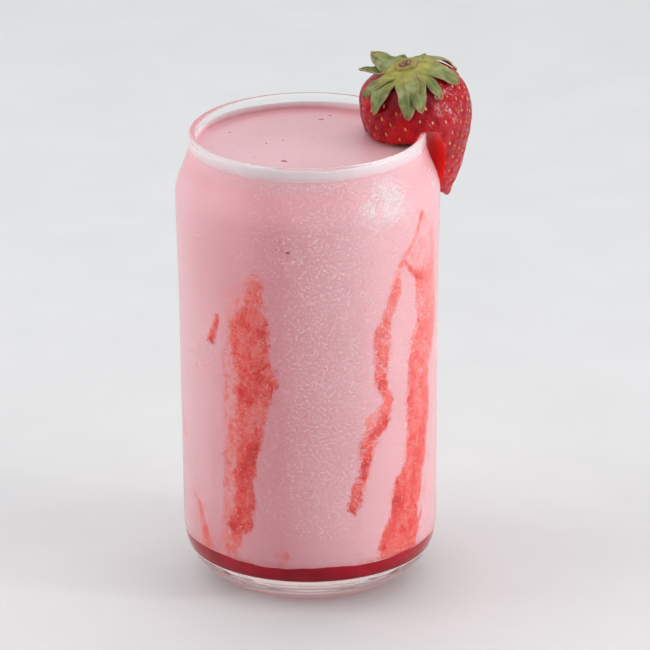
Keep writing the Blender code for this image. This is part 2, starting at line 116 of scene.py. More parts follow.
def inner_radius(height):
    """Inside of the glass, its corner included."""
    if height >= INNER_HEEL_TOP:
        return outer_radius(height) - WALL
    for (r_high, z_high), (r_low, z_low) in zip(INSIDE_CORNER, INSIDE_CORNER[1:]):
        if z_low <= height <= z_high:
            share = (height - z_low) / max(z_high - z_low, 1e-9)
            return r_low + (r_high - r_low) * share
    return FLOOR_EDGE


def steps_between(low, high, count):
    return [low + (high - low) * step / count for step in range(count + 1)]


def start_clean():
    """Nothing selected, so an operator acts on the new piece alone."""
    if bpy.context.object and bpy.context.object.mode != 'OBJECT':
        bpy.ops.object.mode_set(mode='OBJECT')
    bpy.ops.object.select_all(action='DESELECT')


def settle(name):
    """Names the piece just shaped, smooths it and leaves its place in its mesh."""
    piece = bpy.context.object
    piece.name = name
    piece.data.name = name
    bpy.ops.object.transform_apply(location=True, rotation=True, scale=True)
    bpy.ops.object.shade_smooth()
    return piece


def face_outwards(merge_within=0.0):
    """Merges points that lie together, if asked, and turns every face of the piece outwards."""
    bpy.ops.object.mode_set(mode='EDIT')
    bpy.ops.mesh.select_all(action='SELECT')
    if merge_within:
        bpy.ops.mesh.remove_doubles(threshold=merge_within)
    bpy.ops.mesh.normals_make_consistent(inside=False)
    bpy.ops.object.mode_set(mode='OBJECT')


def turned(name, profile, steps=TURNED_STEPS):
    """Spins a line of (radius, height) points round the glass's axis."""
    start_clean()
    first_radius, first_height = profile[0]
    bpy.ops.mesh.primitive_plane_add(size=0.001, location=(GLASS_AXIS_X, 0, first_height))
    bpy.ops.object.mode_set(mode='EDIT')
    bpy.ops.mesh.select_all(action='SELECT')
    bpy.ops.mesh.merge(type='CENTER')
    bpy.ops.transform.translate(value=(first_radius, 0, 0))
    for (radius, height), (next_radius, next_height) in zip(profile, profile[1:]):
        step = (next_radius - radius, 0, next_height - height)
        bpy.ops.mesh.extrude_region_move(TRANSFORM_OT_translate={"value": step})
    bpy.ops.mesh.select_all(action='SELECT')
    bpy.ops.mesh.spin(steps=steps, angle=2 * math.pi, center=(GLASS_AXIS_X, 0, 0),
                      axis=(0, 0, 1))
    face_outwards(MERGE_WITHIN)
    return settle(name)


def add(tree, kind, feeds=None, **settings):
    """A shader node with its settings, each named socket fed by a value or another's output."""
    made = tree.nodes.new("ShaderNode" + kind)
    for setting, value in settings.items():
        setattr(made, setting, value)
    for socket, source in (feeds or {}).items():
        if isinstance(source, bpy.types.NodeSocket):
            tree.links.new(source, made.inputs[socket])
        else:
            made.inputs[socket].default_value = source
    return made


def ramp(tree, factor, *stops):
    """A colour ramp; each stop is (place, colour)."""
    made = add(tree, "ValToRGB", {"Fac": factor})
    edge = made.color_ramp.elements
    while len(edge) < len(stops):
        edge.new(0.5)
    for element, (place, colour) in zip(edge, stops):
        element.position = place
        element.color = (*colour, 1) if len(colour) == 3 else colour
    return made.outputs["Color"]


def fade(tree, value, low, high):
    """0 below low and 1 above high, smooth between; high may be the smaller."""
    made = add(tree, "MapRange", {"Value": value, "From Min": low, "From Max": high},
               interpolation_type='SMOOTHSTEP')
    return made.outputs["Result"]


def maths(tree, operation, first, second=0.0, third=0.0):
    made = add(tree, "Math", {0: first, 1: second, 2: third}, operation=operation)
    return made.outputs[0]


def blend(tree, factor, under, over, how='MIX'):
    """One colour laid over another."""
    made = add(tree, "Mix", data_type='RGBA', blend_type=how)
    for socket, source in ((0, factor), (6, under), (7, over)):
        if isinstance(source, bpy.types.NodeSocket):
            tree.links.new(source, made.inputs[socket])
        elif socket and len(source) == 3:
            made.inputs[socket].default_value = (*source, 1)
        else:
            made.inputs[socket].default_value = source
    return made.outputs[2]


def speckle(tree, scale, detail=2.0, where=None, roughness=0.5, distortion=0.0):
    """Cloudy noise on the piece's own metres."""
    vector = where or add(tree, "TexCoord").outputs["Object"]
    made = add(tree, "TexNoise", {"Vector": vector, "Scale": scale, "Detail": detail,
                                  "Roughness": roughness, "Distortion": distortion})
    return made.outputs["Fac"]


def new_finish(name, colour, roughness, **sockets):
    """A Principled finish and its tree; other sockets by name, spaces as _."""
    finish = bpy.data.materials.new(name)
    finish.use_nodes = True
    shader = finish.node_tree.nodes["Principled BSDF"]
    shader.inputs["Base Color"].default_value = (*colour, 1)
    shader.inputs["Roughness"].default_value = roughness
    for socket, value in sockets.items():
        shader.inputs[socket.replace("_", " ")].default_value = value
    return finish, finish.node_tree, shader


def roughen(tree, shader, height, strength, depth):
    """Fine relief in the finish, that deep in metres."""
    bump = add(tree, "Bump", {"Height": height, "Strength": strength, "Distance": depth})
    tree.links.new(bump.outputs["Normal"], shader.inputs["Normal"])


def let_lamps_through(tree, shader, tint):
    """Clear stuff that a lamp's light passes straight through."""
    path = add(tree, "LightPath")
    clear = add(tree, "BsdfTransparent", {"Color": (*tint, 1)})
    both = add(tree, "MixShader", {"Fac": path.outputs["Is Shadow Ray"]})
    tree.links.new(shader.outputs["BSDF"], both.inputs[1])
    tree.links.new(clear.outputs["BSDF"], both.inputs[2])
    output = next(n for n in tree.nodes if n.type == 'OUTPUT_MATERIAL')
    tree.links.new(both.outputs["Shader"], output.inputs["Surface"])


def glass_profile():
    inside = [(0, FLOOR_HEIGHT + 0.0002), (0.012, FLOOR_HEIGHT + 0.0001)]
    inside += inner_heel(24)[::-1]
    inside += [(inner_radius(z), z) for z in steps_between(INNER_HEEL_TOP, WAIST_TOP, 12)[1:]]
    inside += [(inner_radius(z), z) for z in steps_between(WAIST_TOP, SHOULDER_TOP, 14)[1:]]
    inside += [(inner_radius(z), z) for z in steps_between(SHOULDER_TOP, NECK_FOOT, 14)[1:]]
    centre_height, centre_radius = GLASS_HEIGHT - LIP_RADIUS, RIM_RADIUS - LIP_RADIUS
    rim = [(centre_radius + LIP_RADIUS * math.cos(math.pi * (1 - step / LIP_STEPS)),
            centre_height + LIP_RADIUS * math.sin(math.pi * (1 - step / LIP_STEPS)))
           for step in range(LIP_STEPS + 1)]
    outside = [(outer_radius(z), z) for z in steps_between(NECK_FOOT, SHOULDER_TOP, 14)]
    outside += [(outer_radius(z), z) for z in steps_between(SHOULDER_TOP, WAIST_TOP, 14)[1:]]
    outside += [(outer_radius(z), z) for z in steps_between(WAIST_TOP, HEEL_TOP, 12)[1:]]
    smooth_heel = bezier((HEEL_RADIUS, HEEL_TOP), (HEEL_RADIUS, 0.0077), (0.0309, 0.0032),
                         (FOOT_RADIUS + 0.0006, 0.0003), 96)
    heel = []
    for step, (radius, height) in enumerate(smooth_heel):
        if height > RIDGES_START:
            if step % 6 == 0:
                heel.append((radius, height))
            continue
        ridge = MOULD_RIDGE * sum(math.exp(-((height - top) / MOULD_RIDGE_WIDTH) ** 2)
                                  for top in MOULD_RIDGES)
        heel.append((radius + ridge * 0.7, height - ridge * 0.7))
    ring = [(FOOT_RADIUS, 0.00008), (FOOT_RADIUS - 0.0007, 0), (RING_INNER_RADIUS + 0.0008, 0),
            (RING_INNER_RADIUS, 0.00015), (0.0192, 0.0007), (0.0175, PUNT_DEPTH * 0.7),
            (0.0150, PUNT_DEPTH * 0.86), (0.010, PUNT_DEPTH * 0.96), (0, PUNT_DEPTH)]
    return inside + rim + outside + heel + ring


def glass_finish():
    """Clear at the rim and base, dulled in between by a mist too fine to see as drops; below the syrup
    its base is painted pink, a painted reflection of the syrup.
    """
    finish, tree, shader = new_finish("clear_glass", CLEAR_TINT, 0.0, IOR=1.50,
                                      Transmission_Weight=1.0, Specular_Tint=(0.4, 0.4, 0.4, 1))
    own = add(tree, "TexCoord").outputs["Object"]
    height = add(tree, "SeparateXYZ", {"Vector": own}).outputs["Z"]
    # Painted reflection: the glass below the syrup is tinted pink like the syrup it mirrors.
    painted_syrup_reflection = fade(tree, height, FLOOR_HEIGHT, FLOOR_HEIGHT - SYRUP_REFLECTION_FADE)
    tint = blend(tree, painted_syrup_reflection, CLEAR_TINT, (0.96, 0.79, 0.78))
    tree.links.new(tint, shader.inputs["Base Color"])
    fogged = maths(tree, 'MULTIPLY', fade(tree, height, FOG_FOOT - 0.002, FOG_FOOT + 0.002),
                   fade(tree, height, FOG_TOP + 0.0006, FOG_TOP - 0.0006))
    patches = maths(tree, 'MULTIPLY_ADD', speckle(tree, 60, 3.0, own), 0.5, 0.75)
    rough = add(tree, "MapRange", {"Value": maths(tree, 'MULTIPLY', fogged, patches),
                                   "To Min": 0.015, "To Max": 0.30})
    tree.links.new(rough.outputs["Result"], shader.inputs["Roughness"])
    let_lamps_through(tree, shader, (0.97, 0.975, 0.975))
    return finish


glass = turned("tumbler", glass_profile(), GLASS_STEPS)
glass.data.materials.append(glass_finish())
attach(glass, "root")
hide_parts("glass")


# ---- The syrup layer -----------------------------------------------------------------------
# Dark strawberry syrup poured in first.  It is heavier than the shake, so it lies
# on the glass's floor with a slightly uneven edge where the shake has eaten into it.

SYRUP_LEVEL = 0.0148
SYRUP_REACH = 0.00014           # into the wall, so that no air shows
EDGE_DEPTH = 0.0016             # how far down from its level the uneven edge goes
PAINTED_GLOW_EDGE = 0.0284            # radius outside which a pale glow is painted, for light gathered in the thick glass
# strength of that painted glow
PAINTED_GLOW_STRENGTH = 0.35


def syrup_profile():
    floor = [(radius + SYRUP_REACH, height - SYRUP_REACH) for radius, height in INSIDE_CORNER
             if height < SYRUP_LEVEL - EDGE_DEPTH]
    rise = [(inner_radius(SYRUP_LEVEL - down) + SYRUP_REACH, SYRUP_LEVEL - down)
            for down in (0, 0.0003, 0.0006, 0.0010, 0.0014)]
    top = [(0, SYRUP_LEVEL - 0.0004), (0.015, SYRUP_LEVEL - 0.0004), (0.028, SYRUP_LEVEL - 0.0002)]
    return top + rise + floor[::3] + [(0, FLOOR_HEIGHT - SYRUP_REACH)]


def syrup_edge_lift(azimuth):
    """How far the syrup's edge stands off its level, round the wall."""
    place = Vector((math.cos(azimuth) * 2.2, math.sin(azimuth) * 2.2, 1.7))
    return 0.0007 * noise.noise(place) + 0.00025 * noise.noise(place * 3.7)


syrup = turned("syrup", syrup_profile())
for vert in syrup.data.vertices:
    from_axis = math.hypot(vert.co.x - GLASS_AXIS_X, vert.co.y)
    share = smoothstep(SYRUP_LEVEL - EDGE_DEPTH, SYRUP_LEVEL, vert.co.z)
    share *= smoothstep(0.02, 0.03, from_axis)
    lift = share * syrup_edge_lift(math.atan2(vert.co.y, vert.co.x - GLASS_AXIS_X))
    vert.co.z += lift
    if share:
        reach = (inner_radius(vert.co.z) - inner_radius(vert.co.z - lift)) / from_axis
        vert.co.x += (vert.co.x - GLASS_AXIS_X) * reach
        vert.co.y += vert.co.y * reach


def syrup_finish():
    """Deep crimson; underneath, trapped air shines like a mirror, and its lower edge is painted pale and
    glowing, painted light for the light gathered in the thick glass.
    """
    finish, tree, shader = new_finish("dark_syrup", (0.42, 0.003, 0.018), 0.35,
                                      Specular_IOR_Level=0.0,
                                      Emission_Color=(0.96, 0.84, 0.82, 1))
    own = add(tree, "TexCoord").outputs["Object"]
    cloud = speckle(tree, 160, 4.0, own)
    colour = ramp(tree, cloud, (0.30, (0.34, 0.002, 0.014)), (0.52, (0.43, 0.003, 0.019)),
                  (0.72, (0.52, 0.006, 0.026)))
    height = add(tree, "SeparateXYZ", {"Vector": own}).outputs["Z"]
    flat = add(tree, "VectorMath", {0: own, 1: (GLASS_AXIS_X, 0, 0)}, operation='SUBTRACT')
    flat = add(tree, "VectorMath", {0: flat.outputs["Vector"], 1: (1, 1, 0)}, operation='MULTIPLY')
    from_axis = add(tree, "VectorMath", {0: flat.outputs["Vector"]}, operation='LENGTH')
    under = fade(tree, height, FLOOR_HEIGHT + 0.0003, FLOOR_HEIGHT + 0.0001)
    colour = blend(tree, under, colour, (0.74, 0.30, 0.32))
    # Painted light: a pale ring round the lower edge, made to glow though it is no lamp.
    low_down = fade(tree, height, FLOOR_HEIGHT + 0.0005, FLOOR_HEIGHT + 0.0003)
    far_out = fade(tree, from_axis.outputs["Value"], PAINTED_GLOW_EDGE, PAINTED_GLOW_EDGE + 0.0004)
    painted_glow = maths(tree, 'MULTIPLY', low_down, far_out)
    colour = blend(tree, painted_glow, colour, (0.96, 0.90, 0.88))
    under = maths(tree, 'SUBTRACT', under, painted_glow)
    tree.links.new(maths(tree, 'MULTIPLY', painted_glow, PAINTED_GLOW_STRENGTH), shader.inputs["Emission Strength"])
    tree.links.new(colour, shader.inputs["Base Color"])
    tree.links.new(maths(tree, 'MULTIPLY', under, 0.9), shader.inputs["Metallic"])
    rough = add(tree, "MapRange", {"Value": under, "To Min": 0.5, "To Max": 0.12})
    tree.links.new(rough.outputs["Result"], shader.inputs["Roughness"])
    return finish


syrup.data.materials.append(syrup_finish())
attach(syrup, "root")
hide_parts("syrup_layer")


# ---- The milkshake -------------------------------------------------------------------------
# Milk, ice cream and strawberry blended thick.  It fills the glass from the syrup to
# just under the rim, with a smooth top that climbs the wall a little.

DRINK_LEVEL = 0.131
MENISCUS_RISE = 0.0009
MENISCUS_WIDTH = 0.0028
MILK_REACH = 0.00012            # into the wall, so that no air shows
MENISCUS_CURVE = 2.2            # the power of its climb
# Pale cream: the top's own cream, and also the light end of the painted sheen on the wall.
CREAM_AND_SHEEN = (0.90, 0.93, 0.92)


def milk_profile():
    edge = RIM_RADIUS - WALL
    flat = edge - MENISCUS_WIDTH
    top = [(flat * share, DRINK_LEVEL) for share in (0, 0.2, 0.4, 0.6, 0.8, 0.92, 1)]
    top += [(flat + (MENISCUS_WIDTH + MILK_REACH) * step / 9,
             DRINK_LEVEL + MENISCUS_RISE * (step / 9) ** MENISCUS_CURVE) for step in range(1, 10)]
    heights = steps_between(DRINK_LEVEL + MENISCUS_RISE - 0.0002, SHOULDER_TOP, 16)
    heights += steps_between(SHOULDER_TOP, WAIST_TOP, 14)[1:]
    heights += steps_between(WAIST_TOP, INNER_HEEL_TOP, 12)[1:]
    heights += [SYRUP_LEVEL + above for above in (0.0032, 0.0022, 0.0012, 0.0001, -0.0010)]
    side = [(inner_radius(z) + MILK_REACH, z) for z in heights]
    return top + side + [(0, heights[-1])]


WALL_RADIUS_MM = 36
# Where syrup has seeped into the shake: azimuth from the front, height mm, reach round the
# wall and up it in mm, strength.
SEEPS = [(-55, 20, 9, 6, 0.55), (-44, 15, 8, 4, 0.60), (-66, 25, 4, 7, 0.35),
         (-38, 22, 6, 5, 0.30), (23, 26, 3, 6, 0.16), (48, 17, 12, 4, 0.40),
         (-14, 17.5, 5, 2.0, 0.22), (64, 100, 8, 12, 0.28), (-30, 97, 7, 8, 0.12),
         (-40, 78, 3, 14, 0.16), (-40, 50, 3, 14, 0.18), (56, 60, 12, 24, 0.10)]

# How much paler the shake is painted against the wall, by degrees round from the front: painted sheen and
# shade, paler at the lit sides and darkest a little left of the front.
SHEEN_AND_SHADE_ROUND = [(-180, 0.14), (-110, 0.20), (-72, 0.28), (-50, 0.20), (-28, 0.12), (-14, 0.07),
         (-4, 0.13), (6, 0.19), (18, 0.23), (34, 0.26), (52, 0.27), (75, 0.27), (120, 0.17),
         (180, 0.14)]


def sheen_and_shade_at(azimuth):
    for (near, less), (far, more) in zip(SHEEN_AND_SHADE_ROUND, SHEEN_AND_SHADE_ROUND[1:]):
        if near <= azimuth <= far:
            return less + (more - less) * smoothstep(near, far, azimuth)
    return SHEEN_AND_SHADE_ROUND[0][1]


def seep_at(azimuth, height_mm):
    """Redness of the shake at one place of the wall, 0 to 1; azimuth in degrees."""
    total = 0.0
    for centre, level, round_mm, up_mm, strength in SEEPS:
        turn = (azimuth - centre + 180) % 360 - 180
        aside = math.radians(turn) * WALL_RADIUS_MM
        total += strength * math.exp(-(aside / round_mm) ** 2 - ((height_mm - level) / up_mm) ** 2)
    total += 0.75 * math.exp(-((height_mm - SYRUP_LEVEL * 1000) / 1.1) ** 2)
    return min(total, 1.0)


def point_values(piece, *names):
    """New numbers kept with every point of a piece, under these names."""
    for name in names:
        piece.data.attributes.new(name, 'FLOAT', 'POINT')
    return [piece.data.attributes[name].data for name in names]


def add_seep(piece):
    """Keeps the seeped redness with every point of the piece, and a paleness that is partly the top's own
    cream and partly painted sheen and shade on the wall.
    """
    seep, cream_and_light = point_values(piece, "syrup_seep", "cream_and_painted_light")
    for index, vert in enumerate(piece.data.vertices):
        azimuth = math.degrees(math.atan2(vert.co.x - GLASS_AXIS_X, -vert.co.y))
        near_wall = smoothstep(0.025, 0.034, math.hypot(vert.co.x - GLASS_AXIS_X, vert.co.y))
        low = 1 - smoothstep(DRINK_LEVEL - 0.006, DRINK_LEVEL, vert.co.z)
        seep[index].value = seep_at(azimuth, vert.co.z * 1000) * near_wall * low
        # Painted shade: the wall is painted less pale just under the rim.
        clear_of_rim_shade = smoothstep(DRINK_LEVEL + 0.001, 0.122, vert.co.z)
        paler = sheen_and_shade_at(azimuth) * (0.1 + 0.9 * clear_of_rim_shade)
        # Painted light: the top edge of the wall is painted paler.
        paler += 0.5 * smoothstep(DRINK_LEVEL - 0.0016, DRINK_LEVEL + 0.0008, vert.co.z)
        # Painted shade: a darker ring round the back edge of the top.
        back_shade_ring = smoothstep(0.0285, 0.0315, math.hypot(vert.co.x - GLASS_AXIS_X, vert.co.y))
        back = smoothstep(-0.02, 0.02, vert.co.y) * (1 - low)
        top = 0.25 - 0.22 * back_shade_ring * back
        cream_and_light[index].value = top + (paler - top) * near_wall * low


def milk_colour_group():
    """Pink of the shake: soft clouds, cream and painted sheen and shade, tiny fruit flecks, and red where
    syrup has seeped in.
    """
    group = bpy.data.node_groups.new("Shake pink", "ShaderNodeTree")
    group.interface.new_socket("Colour", in_out='OUTPUT', socket_type='NodeSocketColor')
    own = add(group, "TexCoord").outputs["Object"]
    cloud = speckle(group, 45, 3.0, own)
    pink = ramp(group, cloud, (0.32, (0.80, 0.335, 0.385)), (0.5, (0.83, 0.37, 0.42)),
                (0.7, (0.855, 0.405, 0.455)))
    # Mixed towards pale cream by the cream and painted light kept with the points: the top's own cream,
    # and painted sheen and shade on the wall.
    cream_and_light = add(group, "Attribute", attribute_name="cream_and_painted_light").outputs["Fac"]
    pink = blend(group, cream_and_light, pink, CREAM_AND_SHEEN)
    grain = speckle(group, 1500, 3.0, own)
    pink = blend(group, maths(group, 'MULTIPLY', fade(group, grain, 0.52, 0.85), 0.6), pink,
                 (0.70, 0.27, 0.33))
    for scale, share, size, tone in ((520, 0.95, 0.13, (0.42, 0.15, 0.19)),
                                     (340, 0.95, 0.12, (0.40, 0.13, 0.17))):
        dots = add(group, "TexVoronoi", {"Vector": own, "Scale": scale, "Randomness": 1.0})
        chosen = add(group, "SeparateColor", {"Color": dots.outputs["Color"]})
        rare = maths(group, 'GREATER_THAN', chosen.outputs[0], share)
        round_dot = fade(group, dots.outputs["Distance"], size, size * 0.35)
        fleck = maths(group, 'MULTIPLY', rare, round_dot)
        fleck = maths(group, 'MULTIPLY', fleck, chosen.outputs[1])
        pink = blend(group, fleck, pink, tone)
    seep = add(group, "Attribute", attribute_name="syrup_seep").outputs["Fac"]
    ragged = maths(group, 'MULTIPLY_ADD', speckle(group, 420, 5.0, own, 0.65), 1.5, -0.35)
    ragged = maths(group, 'MAXIMUM', ragged, 0.0)
    pink = blend(group, maths(group, 'MULTIPLY', seep, ragged), pink, (0.66, 0.13, 0.13))
    result = group.nodes.new("NodeGroupOutput")
    group.links.new(pink, result.inputs["Colour"])
    return group


SHAKE_PINK = milk_colour_group()


def shake_pink(tree):
    made = tree.nodes.new("ShaderNodeGroup")
    made.node_tree = SHAKE_PINK
    return made.outputs["Colour"]


def milk_finish(name, roughness, gloss, depth):
    finish, tree, shader = new_finish(name, (0.78, 0.46, 0.50), roughness,
                                      Specular_IOR_Level=gloss)
    tree.links.new(shake_pink(tree), shader.inputs["Base Color"])
    roughen(tree, shader, speckle(tree, 90, 4.0), 0.25, depth)
    return finish


milk = turned("milkshake_fill", milk_profile())
add_seep(milk)
milk.data.materials.append(milk_finish("shake_against_glass", 0.6, 0.0, 0.0002))
milk.data.materials.append(milk_finish("shake_surface", 0.28, 0.5, 0.0012))
for face in milk.data.polygons:
    from_axis = math.hypot(face.center.x - GLASS_AXIS_X, face.center.y)
    on_top = face.center.z > DRINK_LEVEL - 0.0001 and from_axis < RIM_RADIUS - WALL
    face.material_index = 1 if on_top else 0
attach(milk, "root")
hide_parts("milkshake")


# ---- The film above the drink --------------------------------------------------------------
# Where the shake was poured and swirled, it left a thin milky coat on the inside of
# the wall, a few millimetres high and wavy along its top.

FILM_DEPTH = 0.00025
FILM_FOOT, FILM_TOP = 0.0004, 0.0028
FILM_FRONT_RISE = 0.0009        # higher where the shake was poured in


def film_profile():
    heights = steps_between(DRINK_LEVEL + FILM_FOOT, DRINK_LEVEL + FILM_TOP, 8)
    wall = [(RIM_RADIUS - WALL + MILK_REACH, z) for z in heights]
    face = [(RIM_RADIUS - WALL - FILM_DEPTH * (1 - (step / 8) ** 2) - 0.00004, z)
            for step, z in enumerate(heights)]
    return face + wall[::-1] + [face[0]]


def film_lift(azimuth):
    place = Vector((math.cos(azimuth) * 1.6, math.sin(azimuth) * 1.6, 4.2))
    front = smoothstep(-0.3, 0.8, -math.sin(azimuth))
    return (FILM_FRONT_RISE * front + 0.0005 * noise.noise(place) * (1.2 - front)
            + 0.00012 * noise.noise(place * 4.1))


film = turned("milk_film", film_profile())
for vert in film.data.vertices:
    share = (vert.co.z - DRINK_LEVEL - FILM_FOOT) / (FILM_TOP - FILM_FOOT)
    vert.co.z += share * film_lift(math.atan2(vert.co.y, vert.co.x - GLASS_AXIS_X))


def film_finish():
    finish, tree, shader = new_finish("milk_film", (0.78, 0.36, 0.40), 0.4,
                                      Specular_IOR_Level=0.2)
    deep = ramp(tree, speckle(tree, 120, 3.0), (0.35, (0.82, 0.38, 0.41)),
                (0.65, (0.86, 0.46, 0.49)))
    own = add(tree, "TexCoord").outputs["Object"]
    place = add(tree, "SeparateXYZ", {"Vector": own})
    height = place.outputs["Z"]
    # Painted shade: the film is painted deeper pink at the back and paler at the front, for the shadow on
    # the back wall.
    in_front = fade(tree, place.outputs["Y"], 0.008, -0.008)
    thin = fade(tree, maths(tree, 'MULTIPLY_ADD', speckle(tree, 260, 3.0, own), 0.0010, height),
                DRINK_LEVEL + 0.0010, DRINK_LEVEL + 0.0034)
    milky = blend(tree, in_front, deep, (0.82, 0.61, 0.64))
    thinnest = blend(tree, in_front, (0.90, 0.85, 0.855), (0.84, 0.74, 0.75))
    colour = blend(tree, thin, milky, thinnest)
    tree.links.new(colour, shader.inputs["Base Color"])
    return finish


film.data.materials.append(film_finish())
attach(film, "root")


# ---- The syrup streaks ---------------------------------------------------------------------
# Syrup trickled down the inside of the wall before the shake was poured.  Each streak
# is a thin smear between shake and wall, dense in its heart and feathered at its edges.

# Rows down each streak: height mm; its left edge, where its dense part starts and its right
# edge in degrees round from the front; its strength there.
STREAKS = {
    "syrup_streak_front": [
        (104, -26, -26, -23.5, 0.20), (102, -31, -29.6, -20.8, 0.34), (97, -40, -28.3, -20.5, 0.48),
        (92.5, -40, -32, -19.5, 0.56), (89, -41, -35.5, -18.8, 0.62), (83, -42, -37.4, -18, 0.60),
        (78, -42, -36.4, -17.1, 0.58), (72, -42, -33, -14.2, 0.66), (68, -42, -34, -16.4, 0.66),
        (64, -42.2, -34.6, -18.3, 0.54), (58, -41.8, -34.8, -20.9, 0.52),
        (52, -42, -33, -22.5, 0.66), (47, -42.2, -34.6, -24.6, 0.76), (43, -42, -35.3, -24.8, 0.74),
        (39.5, -41.8, -35.4, -26.3, 0.70), (34.5, -43, -35.6, -25.6, 0.70),
        (29.5, -44, -37.5, -26.6, 0.70), (25.5, -44, -41, -27.5, 0.74), (23, -44, -38.3, -32, 0.60),
        (20, -45, -41, -33.8, 0.42), (17, -47, -42, -36, 0.36)],
    "syrup_streak_drop": [
        (89, -46.5, -46, -44, 0.75), (84.5, -49.3, -49, -45.5, 0.50), (80.8, -52.6, -52, -47.6, 0.85)],
    "syrup_streak_thin": [
        (103, 43, 43, 45.5, 0.28), (100, 41.2, 41.2, 45.2, 0.34), (96.5, 39.4, 39.4, 46, 0.38),
        (91.6, 36.1, 36.1, 43.1, 0.42), (88.4, 34.6, 34.6, 39.6, 0.50), (85.2, 31.4, 31.4, 40.3, 0.54),
        (78.5, 31.4, 31.4, 38.9, 0.56), (72.2, 30.9, 30.9, 38, 0.58), (69.3, 32, 32, 39, 0.72),
        (64.2, 35.2, 35.2, 41, 0.56), (60.3, 27.3, 33.5, 39.8, 0.60), (57, 26.8, 33, 39, 0.72),
        (54.2, 25.6, 27, 35.3, 0.80), (51.5, 24.3, 24.3, 31.5, 0.48), (48.5, 24.1, 24.1, 30.4, 0.60),
        (45.1, 23.8, 23.8, 28.9, 0.80), (42.1, 22.8, 22.8, 28.3, 0.78), (38.6, 19.3, 19.3, 26.3, 0.56),
        (35.4, 18.4, 18.4, 24.3, 0.64), (32.4, 17.9, 17.9, 23.2, 0.76), (30.8, 19.6, 19.6, 21.8, 0.70)],
    "syrup_streak_right": [
        (117.5, 58, 58, 62, 0.34), (112.5, 56, 56, 67, 0.14), (109.3, 51.5, 51.5, 73, 0.16),
        (106, 46.8, 46.8, 75, 0.18), (102.5, 51, 51, 75.3, 0.22), (98.8, 56.5, 56.5, 75, 0.46),
        (95, 56.7, 56.7, 75.5, 0.42), (90.4, 57, 57, 78, 0.36), (85, 57.2, 57.2, 79, 0.42),
        (80, 52.8, 55, 78, 0.44), (74.6, 51.7, 51.7, 74, 0.50), (68.5, 51.3, 51.3, 69.5, 0.50),
        (62.4, 50.7, 50.7, 69, 0.58), (57, 50.6, 50.6, 70, 0.56), (53, 50.8, 50.8, 68.5, 0.58),
        (48.5, 50.2, 50.2, 67.4, 0.64), (44, 49.5, 49.5, 66.6, 0.62), (40.7, 46.8, 46.8, 65, 0.66),
        (37.5, 42.4, 42.4, 63, 0.68), (31.4, 41.2, 41.2, 62, 0.74), (27, 39.4, 39.4, 59.5, 0.74),
        (23.7, 36.5, 38, 59, 0.72), (20, 33.7, 36, 60, 0.66), (17.5, 33.2, 34, 58, 0.62)],
    "syrup_streak_low": [
        (30.4, -70.2, -70, -67.6, 0.22), (28.3, -64.5, -64, -60.2, 0.52), (24.4, -62, -61.5, -57.5, 0.44),
        (20.5, -60, -59, -54, 0.40), (17, -60, -59, -52, 0.40)],
    "syrup_streak_back_left": [
        (108, -119, -119, -116, 0.3), (100, -126, -122, -114, 0.45), (88, -132, -125, -114, 0.6),
        (76, -128, -124, -114, 0.5), (64, -133, -126, -115, 0.66), (52, -133, -131, -121, 0.6),
        (40, -130, -128, -120, 0.7), (28, -136, -130, -122, 0.72), (17, -137, -134, -127, 0.5)],
    "syrup_streak_back": [
        (96, 166.8, 167, 169.2, 0.4), (88, 166.6, 168, 175.4, 0.5), (78, 163.4, 167, 174.6, 0.6),
        (66, 169.2, 170, 176.8, 0.5), (54, 169.6, 173, 182.4, 0.66), (42, 169.4, 171, 178.6, 0.6),
        (31, 175.4, 176, 180.6, 0.62), (22, 178.8, 179, 181.2, 0.7)],
    "syrup_streak_back_right": [
        (112, 120.6, 121, 123.4, 0.3), (102, 112, 114, 126, 0.35), (91, 106, 112, 126, 0.55),
        (78, 110, 113, 126, 0.5), (64, 110.6, 116, 131.4, 0.6), (50, 109.6, 113, 126.4, 0.6),
        (37, 112.4, 117, 131.6, 0.7), (26, 119, 121, 133, 0.7), (17, 125, 126, 131, 0.5)],
    "syrup_streak_edge": [
        (52, -82.5, -82.4, -81, 0.34), (49.4, -81.6, -81.5, -79.4, 0.50),
        (46.5, -78.6, -78.5, -76.4, 0.40)],
    "syrup_streak_swirl": [
        (20, -13.5, -13.4, -11, 0.24), (18.8, -16, -15.9, -9.5, 0.34), (17.2, -15, -14.9, -10.5, 0.30),
        (16.2, -13.6, -13.5, -12, 0.26)],
}
RUNS_INTO_SYRUP = ("syrup_streak_front", "syrup_streak_right", "syrup_streak_low",
                   "syrup_streak_back_left", "syrup_streak_back_right")
SMALL_STREAKS = ("syrup_streak_drop", "syrup_streak_edge", "syrup_streak_swirl")
MARGIN, SMALL_MARGIN = 0.0030, 0.0014       # bare smear left round a streak, for ragged edges
SMEAR_THICKNESS = 0.0004

